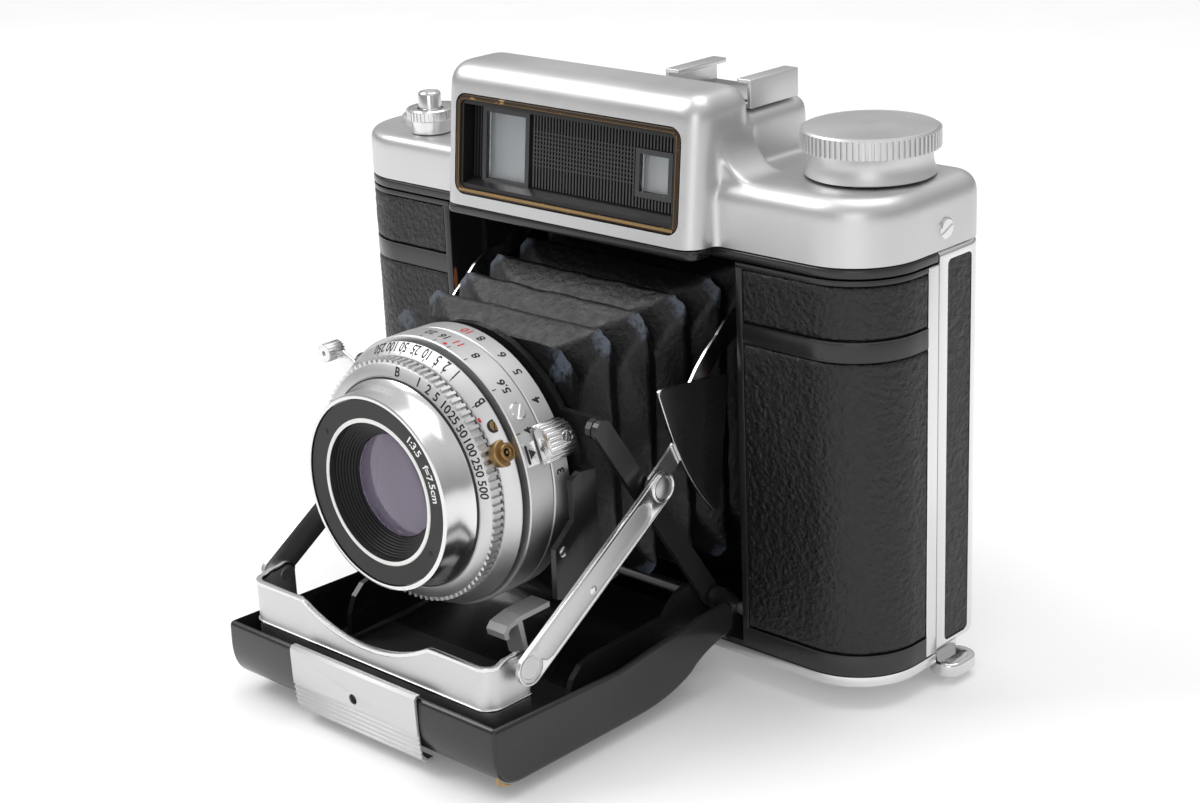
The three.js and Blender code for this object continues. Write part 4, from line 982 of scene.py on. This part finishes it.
def bracket():
    """Bright band across the front of the bed, turning the corners into the cheeks."""
    half, front, corner = 31.2, -77.3, 3.0
    pivot_y, pivot_z = STRUT_END
    side = [(half, y) for y in (-67.3, -68.4, -69.6, -70.8, -72, -73)]
    side += arc(half - corner, front + corner, corner, 0, -90, 8)
    across = [(half - corner - (2 * (half - corner)) * i / 60, front) for i in range(1, 60)]
    path = side + across + [(-x, y) for x, y in side[::-1]]

    def height(x, y):
        reach = abs(x)
        if y > front + corner + 0.01:
            if y > pivot_y - 1.5:
                return pivot_z + math.sqrt(max(0.3, 2.5 ** 2 - (y - pivot_y) ** 2))
            return 18.9
        if reach < 16.7:
            t = reach / 16.7
            return 13.9 + 4.5 * t ** 2.1
        return 18.4

    def band(name, z_of, out, deep, look, **options):
        points, count = [], len(path)
        for index, (x, y) in enumerate(path):
            before, after = path[max(0, index - 1)], path[min(count - 1, index + 1)]
            run = Vector((after[0] - before[0], after[1] - before[1])).normalized()
            normal = Vector((-run.y, run.x))
            if normal.dot(Vector((x, y + 60))) < 0:
                normal = -normal
            z0, z1 = z_of(x, y)
            for shift in (out, -deep):
                px, py = x + normal.x * shift, y + normal.y * shift
                points += [(px, py, z0), (px, py, z1)]
        faces = []
        for i in range(count - 1):
            a, b = 4 * i, 4 * i + 4
            faces += [(a, b, b + 1, a + 1), (a + 2, a + 3, b + 3, b + 2), (a + 1, b + 1, b + 3, a + 3),
                      (a, a + 2, b + 2, b)]
        end = 4 * (count - 1)
        faces += [(0, 1, 3, 2), (end, end + 2, end + 3, end + 1)]
        return add(name, points, faces, look, "bed", **options)

    band("strut_bracket", lambda x, y: (-1, height(x, y)), 0, 0.9, SATIN, replaces=("front_bracket",),
         slot="bright_metal", bevel=0.25, segments=3)
    band("bracket_rim", lambda x, y: (height(x, y) - 0.75, height(x, y) + 0.04), 0.1, 0.95, BRIGHT,
         slot="bright_metal", bevel=0.12, segments=2)
    band("bracket_bead", lambda x, y: (10.2, 10.75), 0.3, 0.2, BRIGHT, slot="bright_metal", bevel=0.14,
         segments=3)


def latch():
    face = [(-77.5, -2.2), (-78.8, -2.2), (-79.9, -1), (-80.35, 4), (-80.45, 9.6), (-80.2, 10.15),
            (-79.6, 10.2), (-79.6, 10.5), (-80.5, 10.5), (-80.95, 10), (-81, 9.4), (-80.9, 5), (-80.82, 3.1)]
    z = 3.0
    while z > -1.0:
        shift = 0.1 * (3.0 - z)
        face += [(-80.78 + shift, z), (-80.52 + shift, z - 0.25), (-80.52 + shift, z - 0.5),
                 (-80.76 + shift, z - 0.75)]
        z -= 0.98
    face += [(-80.2, -1.6), (-79.3, -2.75), (-77.5, -2.75)]
    plate = prism("plate", face, "x", -16.5, 16.5, SATIN, None)
    hole = lathe("hole", [(0, -84), (1, -84), (1, -79), (0, -79)], (0, 0, 4.9), "y", SATIN, None, 40)
    cut(plate, hole)
    round_edges(plate, 0.12, 2, 50)
    settle(plate)
    plate.name = "catch_plate"
    dress(plate, "bed", ("latch_plate",), "satin_metal")


def slot_shape(a, b, radius, steps=16):
    turn = math.degrees(math.atan2(b[1] - a[1], b[0] - a[0]))
    return arc(*b, radius, turn - 90, turn + 90, steps) + arc(*a, radius, turn + 90, turn + 270, steps)


def along(a, b, distance):
    length = math.dist(a, b)
    return tuple(p + (q - p) * distance / length for p, q in zip(a, b))


def linkage():
    for side, hand in ((-1, "left"), (1, "right")):
        def spread(inner, outer):
            return sorted((side * inner, side * outer))

        bar = prism(f"strut_bar_{hand}", slot_shape(STRUT_END, ELBOW, 2.95), "x", *spread(33.1, 33.75),
                    SATIN, None, bevel=0.12)
        near, far = spread(30.2, 33.3)
        pin = [(0, near), (1.2, near), (1.2, far), (0, far)]
        cut(bar, lathe("pin", pin, (0, *STRUT_END), "x", SATIN, None, 32), operation="UNION")
        dress(bar, "struts", (f"strut_{hand}",), "satin_metal")
        rim = prism(f"strut_rim_{hand}", slot_shape(STRUT_END, ELBOW, 3), "x", *spread(33.6, 34.05),
                    BRIGHT, None)
        inset = slot_shape(along(STRUT_END, ELBOW, 4.8), along(ELBOW, STRUT_END, 6.6), 2.35, 5)
        inset = prism("inset", inset, "x", *spread(33, 35), BRIGHT, None)
        ends = [lathe("end", [(0, -36), (2.75, -36), (2.75, 36), (0, 36)], (0, *at), "x", BRIGHT, None, 48)
                for at in (STRUT_END, ELBOW)]
        cut(rim, inset, *ends)
        round_edges(rim, 0.12, 2, 50)
        settle(rim)
        dress(rim, "struts", (), "bright_metal")
        face = side * 33.75
        outward = (Vector((0, 1, 0)), Vector((0, 0, 1)), Vector((side, 0, 0)))
        ring = [(2.15, 0), (2.75, 0), (2.75, 0.3), (2.5, 0.55), (2.3, 0.5), (2.15, 0.2)]
        lathe(f"elbow_ring_{hand}", ring, (face, *ELBOW), outward, BRIGHT, "struts", 72, True,
              slot="bright_metal")
        lathe(f"elbow_cap_{hand}", [(0, -0.1), (2.0, -0.1), (2.0, 0.22), (1.7, 0.42), (0, 0.5)],
              (face, *ELBOW), outward, STEEL, "struts", 64, slot="satin_metal")
        lathe(f"strut_rivet_{hand}", [(0, -0.1), (0.85, -0.1), (0.85, 0.1), (0.5, 0.24), (0, 0.27)],
              (face, -53.5, 25.5), outward, BRIGHT, "struts", 40, slot="bright_metal")
        foot = [(0, -0.1), (2.3, -0.1), (2.3, 0.15), (1.9, 0.2), (1.8, 0.12), (0, 0.12)]
        lathe(f"strut_foot_{hand}", foot, (face, *STRUT_END), outward, SATIN, "struts", 56,
              slot="bright_metal")
        fan = [(-15, 54), (-32.8, 56.2)] + curve((-32.8, 56.2), (-34.4, 56.2), (-34, 54.8), 6)
        fan += curve((-34, 54.8), (-28.5, 38), (-20.4, 29.6), 18)
        fan += curve((-20.4, 29.6), (-18.9, 28.4), (-18.6, 30.2), 5)
        prism(f"fan_{hand}", fan, "x", *spread(32.35, 32.8), BLACK, "links",
              replaces=(f"fan_plate_{hand}",), slot="black_paint", bevel=0.15, segments=3)
        outer = [(-15.5, 54.35), (-32.8, 56.25)] + curve((-32.8, 56.25), (-34.5, 56.25), (-34.1, 54.8), 6)
        outer += curve((-34.1, 54.8), (-28.6, 37.9), (-20.5, 29.4), 18)
        strip = [(y + 0.42, z - 0.1) for y, z in outer][::-1]
        strip = [(y, z - (0.3 if y > -32 and z > 50 else 0)) for y, z in strip]
        prism(f"fan_rim_{hand}", outer[1:] + strip[:-1], "x", *spread(32.3, 32.95), BRIGHT, "links",
              slot="bright_metal", bevel=0.08)
        lathe(f"standard_rivet_{hand}", [(0, -0.1), (1, -0.1), (1, 0.1), (0.6, 0.3), (0, 0.3)],
              (side * 27.4, -53.9, 31.2), outward, BRIGHT, "standard", 40, slot="bright_metal")


# ------------------------------------------------------------------ lens and shutter
def radial_frame(degrees):
    """(across, along the lens axis, outward) directions at an angle round the lens."""
    turn = math.radians(degrees)
    outward = Vector((math.cos(turn), 0, math.sin(turn)))
    return (Vector((-math.sin(turn), 0, math.cos(turn))), Vector((0, 1, 0)), outward)


FACING_FRONT = (Vector((1, 0, 0)), Vector((0, 0, 1)), Vector((0, -1, 0)))


def on_ring(degrees, behind, radius):
    turn = math.radians(degrees)
    return (radius * math.cos(turn), LENS_Y + behind, LENS_Z + radius * math.sin(turn))


def lens_part(name, profile, look, body, segments=160, **options):
    centre = (0, LENS_Y, LENS_Z)
    return lathe(name, profile, centre, "y", look, body, segments, True, **options)


def tick(name, degrees, b0, b1, radius_at, width, look, body):
    """Thin engraved line along the lens axis on a ring."""
    points = []
    for b in (b0, b1):
        for shift in (-width / 2, width / 2):
            radius = radius_at(b) + 0.02
            turn = math.radians(degrees) + shift / radius
            points.append((radius * math.cos(turn), LENS_Y + b, LENS_Z + radius * math.sin(turn)))
    return add(name, points, [(0, 1, 3, 2)], look, body)


def front_group():
    """Front tube, name ring, the two glasses and the iris."""
    flared = [(17.1, 0.02), (17.5, 0), (17.86, 0.15), (17.92, 0.6), (18, 3), (18.15, 4.3), (18.5, 5.4),
              (19, 6.1), (19, 6.3), (16.6, 6.3), (16.6, 9.4), (14.4, 9.4), (14.4, 2), (17.1, 2)]
    lens_part("front_tube", flared, BRIGHT, "lens_unit", 160, replaces=("lens_barrel",), slot="bright_metal")
    ring = [(13.45, 0.5), (16.9, 0.3), (16.9, 1.8), (14.2, 1.8), (14.2, 7), (9.55, 7), (9.55, 4.6)]
    steps = 8
    for i in range(steps):
        radius = 9.6 + (12.6 - 9.6) * i / steps
        b = 4.5 - 3.1 * i / steps
        ring += [(radius, b), (radius + 0.3, b), (radius + 0.3, b - 0.3)]
    ring += [(12.65, 1.2), (12.7, 0.6)]
    lens_part("lens_ring", ring, MATT, "lens_unit", 144, replaces=("name_ring",), slot="black_paint")
    white = [(12.7, 0.45), (13.3, 0.36), (13.5, 0.52), (12.75, 0.75)]
    lens_part("lens_ring_edge", white, WHITE, "lens_unit", 144, slot="bright_metal")
    name_at = 15.2
    face_at = 0.33
    label("1:3.5   f=7.5cm", 2.1, "lens_figures", WHITE, "lens_unit",
          on_face(math.radians(30), name_at, face_at))
    for i, degrees in enumerate((145.5, -32.5)):
        lathe(f"ring_dot_{i}", [(0, -0.05), (0.5, -0.05), (0.5, 0.03), (0, 0.03)],
              on_ring(degrees, face_at + 0.03, name_at), FACING_FRONT, INK, "lens_unit", 20)
    domed = [(9.4 * i / 12, 3.5 + 1.2 * (i / 12) ** 2) for i in range(13)] + [(9.4, 6.8), (0, 6.8)]
    lathe("front_glass", domed, (0, LENS_Y, LENS_Z), "y", COATED, "lens_unit", 96,
          replaces=("front_element",), slot="coated_glass")
    rear = [(8 * i / 10, 17 + 0.8 * (i / 10) ** 2) for i in range(11)] + [(8, 19.6), (0, 19.6)]
    lathe("rear_glass", rear, (0, LENS_Y, LENS_Z), "y", COATED, "lens_unit", 80, replaces=("rear_element",),
          slot="coated_glass")
    lens_part("iris", [(4.4, 13.2), (14.2, 13.2), (14.2, 13.4), (4.4, 13.4)], DEEP, "lens_unit", 5,
              slot="black_paint")


def speed_dial():
    """Toothed ring with the speeds on its face."""
    rim = prism("rim", toothed(22.2, 0.62, 96, 0.42), "y", 7.2, 9.3, TURNED, None)
    rim.data.transform(Matrix.Translation(Vector((0, LENS_Y, LENS_Z)) * MM))
    hole = lathe("hole", [(0, 5), (21, 5), (21, 11), (0, 11)], (0, LENS_Y, LENS_Z), "y", TURNED, None, 128)
    cut(rim, hole)
    rim.name = "speed_teeth"
    dress(rim, "speed", (), "satin_metal")
    face = [(16.95, 6.5), (19.2, 6.42), (19.35, 6.5), (19.35, 6.58), (19.5, 6.5), (21.4, 7.05), (21.65, 7.3),
            (21.65, 9.3), (16.95, 9.3)]
    lens_part("speed_dial", face, TURNED, "speed", 160, replaces=("speed_ring",), slot="satin_metal")
    lens_part("dial_groove", [(18.95, 6.3), (19.3, 6.3), (19.3, 6.6), (18.95, 6.6)], DEEP, "speed", 128)
    speeds = (("B", 89), ("1", 74), ("2", 67), ("5", 61), ("10", 54), ("25", 47), ("50", 39.5),
              ("100", 31), ("250", 20.5), ("500", 9.5))
    for text, degrees in speeds:
        def face_place(x, y, a=math.radians(degrees)):
            radius = 20.45 + y
            turn = a - x / 20.45
            b = 6.5 + max(0, radius - 19.5) * 0.29 - 0.02
            return (radius * math.cos(turn), LENS_Y + b, LENS_Z + radius * math.sin(turn))
        label(text, 2.3, f"speed_{text}", INK, "speed", face_place)
    for i, (_, degrees) in enumerate(speeds):
        lathe(f"speed_dot_{i}", [(0, -0.05), (0.16, -0.05), (0.16, 0.03), (0, 0.03)],
              on_ring(degrees, 6.44, 19.0), FACING_FRONT, INK, "speed", 16)


def shutter_case():
    """Fixed housing with the speeds read from behind."""
    housing = [(14.6, 9.6), (22.1, 9.6), (22.4, 9.75), (24.1, 11.6), (24.25, 11.8), (24.2, 12), (21.2, 12),
               (20.8, 12.1), (20.8, 12.9), (20.5, 12.9), (20.5, 23.2), (14.6, 23.2)]
    case = lens_part("shutter_case", housing, TURNED, None, 160)
    hole = lathe("hole", [(0, -6), (1.7, -6), (1.7, 6), (0, 6)], on_ring(23, 10.9, 24), radial_frame(23),
                 TURNED, None, 40)
    cut(case, hole)
    case.name = "shutter_case"
    dress(case, "lens_unit", ("shutter_housing",), "satin_metal")

    def cone(b):
        return 22.4 + (b - 9.75) * 0.92

    for text, degrees in (("B", 46.5), ("1", 63), ("2", 69), ("5", 74.5), ("10", 81), ("25", 88),
                          ("50", 95.5), ("100", 103), ("250", 111.5)):
        label(text, 2.0, f"case_{text}", INK, "lens_unit", behind_view(math.radians(degrees), 11.05, cone))
        tick(f"case_tick_{text}", degrees, 9.8, 10.3, cone, 0.16, INK, "lens_unit")
    lathe("speed_mark", [(0, -0.1), (0.45, -0.1), (0.45, 0.06), (0, 0.06)], on_ring(40, 9.85, 22.5),
          radial_frame(40), RED, "lens_unit", 20)
    lathe("screw_well", [(0, -0.2), (1.15, -0.2), (1.15, 0.32), (0, 0.32)], on_ring(35, 10.9, 23.45),
          radial_frame(35), DEEP, "lens_unit", 32)
    screw("case_screw", on_ring(35, 10.9, 23.45), radial_frame(35), 0.95, 0.4, BRASS, "lens_unit", 0.4,
          slot="brass")


def stop_ring():
    """Aperture ring, and the grooves on each side of it."""
    stops = [(20.9, 13.3), (21, 13.2), (24.8, 13.2), (25, 13.4), (25, 18.7), (24.85, 18.9), (20.9, 18.9)]
    lens_part("stop_ring", stops, TURNED, "aperture", 160, replaces=("aperture_ring",), slot="satin_metal")

    def flat_ring(_):
        return 25.0

    for text, degrees in (("22", 92), ("16", 84), ("11", 76), ("8", 66), ("5.6", 48), ("4", 28)):
        look = RED if text == "11" else INK
        label(text, 2.4, f"stop_{text.replace('.', '_')}", look, "aperture",
              behind_view(math.radians(degrees), 16.4, flat_ring))
        tick(f"stop_tick_{text.replace('.', '_')}", degrees, 13.5, 14.4, flat_ring, 0.18, INK, "aperture")
    lathe("stop_dot", [(0, -0.1), (0.4, -0.1), (0.4, 0.05), (0, 0.05)], on_ring(79, 14.3, 25),
          radial_frame(79), RED, "aperture", 20)
    lens_part("scale_groove", [(21, 18.85), (24.6, 18.85), (24.6, 19.25), (21, 19.25)], DEEP, "lens_unit",
              128)
    lens_part("case_groove", [(20.9, 12.0), (23.2, 12.0), (23.2, 13.25), (20.9, 13.25)], DEEP, "lens_unit",
              128)


def distance_ring():
    focus = [(20.9, 19.2), (24.7, 19.2), (24.9, 19.4), (24.9, 23), (24.7, 23.2), (20.9, 23.2)]
    lens_part("distance_ring", focus, TURNED, "focus", 160, replaces=("focus_ring",), slot="satin_metal")

    def focus_at(_):
        return 24.9

    for text, degrees in (("10", 82.5), ("8", 74.5), ("6", 62), ("5", 52), ("4", 38), ("3", 8)):
        look = RED if text == "10" else INK
        label(text, 2.5, f"distance_{text}", look, "focus",
              behind_view(math.radians(degrees), 21.2, focus_at))


def index_mark():
    """Plate and triangle that the distances are read against, and the screw beside them."""
    basis = Matrix(radial_frame(19)).transposed()
    at = on_ring(19, 15, 24.9)
    plate = prism_data(rect(-2.1, 2.1, -1.5, 1.7, 0.3), "z", -0.3, 0.22)
    add("mark_plate", *oriented(plate, at, basis), BRIGHT, "aperture", slot="bright_metal", bevel=0.06)
    slit = prism_data(rect(-1.7, 1.7, -1.0, -0.45, 0.2), "z", 0.1, 0.26)
    add("mark_slot", *oriented(slit, at, basis), DEEP, "aperture")
    data = prism_data([(-0.9, -0.2), (0.9, -0.2), (0, 1.3)], "z", 0.1, 0.27)
    add("distance_mark", *oriented(data, at, basis), INK, "aperture")
    screw("ring_screw", on_ring(36.5, 16, 24.95), radial_frame(36.5), 1.6, 0.45, BRIGHT, "aperture", 0.7,
          slot="bright_metal")


def focus_grip():
    """Half-round grip, fluted along the lens axis, with its flat side to the ring."""
    degrees, flutes, steps = 21, 11, 132
    basis = Matrix(radial_frame(degrees)).transposed()
    centre = on_ring(degrees, 19.8, 25.3)
    outline = []
    for i in range(steps + 1):
        turn = math.pi * i / steps
        reach = 3.55 - 0.34 * (0.5 - 0.5 * math.cos(2 * flutes * turn)) ** 2
        outline.append((reach * math.cos(turn), 0.05 + reach * math.sin(turn)))
    grip = add("focus_grip", *oriented(prism_data(outline, "y", -2.9, 2.9), centre, basis), BRIGHT, None)
    round_edges(grip, 0.18, 2, 60)
    settle(grip)
    seat_at = (centre[0], centre[1] + 1.1, centre[2])
    seat = [(0, 2.6), (1.15, 2.6), (1.15, 6), (0, 6)]
    cut(grip, lathe("seat", seat, seat_at, radial_frame(degrees), BRIGHT, None, 40))
    dress(grip, "focus", ("focus_knob",), "bright_metal")
    screw("grip_screw", on_ring(degrees, 20.9, 28.2), radial_frame(degrees), 1.0, 0.3, BRIGHT, "focus", 0.5,
          slot="bright_metal")


def lever_and_post():
    """Cocking lever with its knurled end, and the flash contact."""
    across, _, outward = radial_frame(139.6)
    points = []
    for reach, half in ((21.3, 2.4), (25.2, 1.9), (27.6, 1.25), (28.6, 1.1)):
        for b in (12.1, 12.7):
            for side in (-1, 1):
                at = outward * reach + across * half * side
                points.append((at.x, LENS_Y + b, LENS_Z + at.z))
    faces = []
    for i in range(3):
        a, b = 4 * i, 4 * i + 4
        faces += [(a, a + 1, b + 1, b), (a + 2, b + 2, b + 3, a + 3), (a, b, b + 2, a + 2),
                  (a + 1, a + 3, b + 3, b + 1)]
    faces += [(0, 2, 3, 1), (12, 13, 15, 14)]
    add("lever_arm", points, faces, BRIGHT, "lever", replaces=("cocking_lever",), slot="bright_metal",
        bevel=0.15)
    knob_at = outward * 29
    grip = toothed(1.75, 0.22, 18)
    data = moved(prism_data(grip, "y", LENS_Y + 9.2, LENS_Y + 12.9), knob_at.x, 0, LENS_Z + knob_at.z)
    knob = add("lever_grip", *data, BRIGHT, None, bevel=0.1)
    hole = lathe("hole", [(0, 7), (0.45, 7), (0.45, 10), (0, 10)], (knob_at.x, LENS_Y, LENS_Z + knob_at.z),
                 "y", BRIGHT, None, 24)
    cut(knob, hole)
    dress(knob, "lever", (), "bright_metal")
    contact_at, contact_frame = on_ring(23, 10.9, 24), radial_frame(23)
    post = [(0.65, -4), (1.5, -4), (1.5, 0.45), (1.35, 0.6), (1.1, 0.6), (1.05, 0.3), (0.8, 0.3), (0.65, 0.1)]
    lathe("flash_flange", [(1.45, -1.9), (2.4, -1.9), (2.4, -0.5), (2.2, -0.3), (1.45, -0.25)],
          contact_at, contact_frame, BRASS, "lens_unit", 48, True)
    lathe("flash_post", post, contact_at, contact_frame, BRASS, "lens_unit", 64, True,
          replaces=("sync_post",), slot="brass")
    lathe("flash_pin", [(0, -4), (0.3, -4), (0.3, 0.2), (0, 0.3)], contact_at, contact_frame, BRASS,
          "lens_unit", 24)


# ------------------------------------------------------------------ CAD pieces shown as they are
def dress_cad():
    looks = {"body_casting": BLACK, "tripod_bush": BRIGHT, "pressure_plate": MATT, "back_hinge_pin": STEEL,
             "bed_hinge_pin": STEEL, "takeup_spool": MATT, "supply_spool": MATT, "front_standard": BLACK,
             "standard_foot": PLATED}
    for hand in ("left", "right"):
        looks[f"bed_rail_{hand}"] = BLACK
        looks[f"erecting_arm_{hand}"] = BLACK
        looks[f"upper_link_{hand}"] = BRIGHT
    for node, look in looks.items():
        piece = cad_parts[node]
        repaint(piece, look)
        round_edges(piece, 0.3 if node in ("front_standard", "body_casting") else 0.14, 2, 40)
        weighted = piece.modifiers.new("shading", "WEIGHTED_NORMAL")
        weighted.keep_sharp = True
    screw("end_screw", (HALF, 4.1, 81.9), (Vector((0, 1, 0)), Vector((0, 0, 1)), Vector((1, 0, 0))), 1.9,
          0.45, BRIGHT, "camera_body", 0.4, replaces=("cover_screw",), slot="bright_metal")


# ------------------------------------------------------------------ studio
def paper_floor():
    ground = min(p[2] for p in cad_bounds)
    bpy.ops.mesh.primitive_plane_add(size=6, location=(0, 0, ground - 0.0002))
    floor = bpy.context.object
    floor.name = "floor"
    paper, nodes, links, shader = new_material("paper")
    grain = textured(nodes, links, "ShaderNodeTexNoise", 30, 4)
    white = ramp(nodes, links, grain.outputs["Fac"], [(0.3, (0.94, 0.94, 0.94)), (0.7, (0.96, 0.96, 0.96))])
    links.new(white, shader.inputs["Base Color"])
    shader.inputs["Roughness"].default_value = 0.75
    shader.inputs["Emission Color"].default_value = (1, 1, 1, 1)
    shader.inputs["Emission Strength"].default_value = 0.12
    floor.data.materials.append(paper)


def soft_sky():
    """Grey overhead light that the camera itself sees as plain white."""
    scene = bpy.context.scene
    scene.view_settings.view_transform = "Standard"
    world = bpy.data.worlds.new("studio")
    scene.world = world
    world.use_nodes = True
    sky, sky_links = world.node_tree.nodes, world.node_tree.links
    coordinates = sky.new("ShaderNodeTexCoord")
    split = sky.new("ShaderNodeSeparateXYZ")
    sky_links.new(coordinates.outputs["Generated"], split.inputs[0])
    shade = ramp(sky, sky_links, split.outputs["Z"], [(0.0, (0.45,)), (0.25, (0.66,)), (0.6, (1,))])
    seen = sky.new("ShaderNodeLightPath")
    mix = sky.new("ShaderNodeMix")
    mix.data_type = "RGBA"
    sky_links.new(seen.outputs["Is Camera Ray"], mix.inputs["Factor"])
    sky_links.new(shade, mix.inputs["A"])
    mix.inputs["B"].default_value = (1.6, 1.6, 1.6, 1)
    sky_links.new(mix.outputs["Result"], sky["Background"].inputs["Color"])
    sky["Background"].inputs["Strength"].default_value = 0.68


def lamps():
    for name, where, size, power in (("key", (-0.55, -0.35, 0.75), 0.5, 3.8),
                                     ("front", (0.6, -0.85, 0.3), 0.5, 1.2),
                                     ("top", (0.1, 0.15, 0.9), 0.7, 2.6)):
        light = bpy.data.lights.new(name, "AREA")
        light.size = size
        light.energy = power
        holder = bpy.data.objects.new(name, light)
        bpy.context.scene.collection.objects.link(holder)
        holder.location = where
        holder.rotation_euler = (Vector((0, -0.02, 0.05)) - Vector(where)).to_track_quat("-Z", "Y").to_euler()


def camera():
    scene = bpy.context.scene
    lens_data = bpy.data.cameras.new("camera")
    lens_data.lens = 69.24
    lens_data.sensor_width = 36
    lens_data.clip_start = 0.01
    viewer = bpy.data.objects.new("camera", lens_data)
    scene.collection.objects.link(viewer)
    viewer.location = Vector((286.9, -313.8, 189.2)) * MM
    heading, height, roll = math.radians(43.8), math.radians(19.6), math.radians(-2.5)
    back = Vector((math.sin(heading) * math.cos(height), -math.cos(heading) * math.cos(height),
                   math.sin(height)))
    right = Vector((math.cos(heading), math.sin(heading), 0))
    up = back.cross(right)
    turned_right = right * math.cos(roll) + up * math.sin(roll)
    turned_up = -right * math.sin(roll) + up * math.cos(roll)
    viewer.rotation_euler = Matrix((turned_right, turned_up, back)).transposed().to_euler()
    scene.camera = viewer


body_bands()
for level, z0, z1 in (("upper", 65.2, 74.8), ("lower", 6.2, 61.1)):
    for side, hand in ((-1, "left"), (1, "right")):
        leather_panel(f"covering_{level}_{hand}", side, z0, z1, f"leather_{level}_{hand}")
wear_marks()
bottom_plate()
top_cover()
finder_window()
advance_knob()
release()
shoe()
back_door()
bellows()
bed_shell()
bracket()
latch()
linkage()
front_group()
speed_dial()
shutter_case()
stop_ring()
distance_ring()
index_mark()
focus_grip()
lever_and_post()
dress_cad()
paper_floor()
soft_sky()
lamps()
camera()
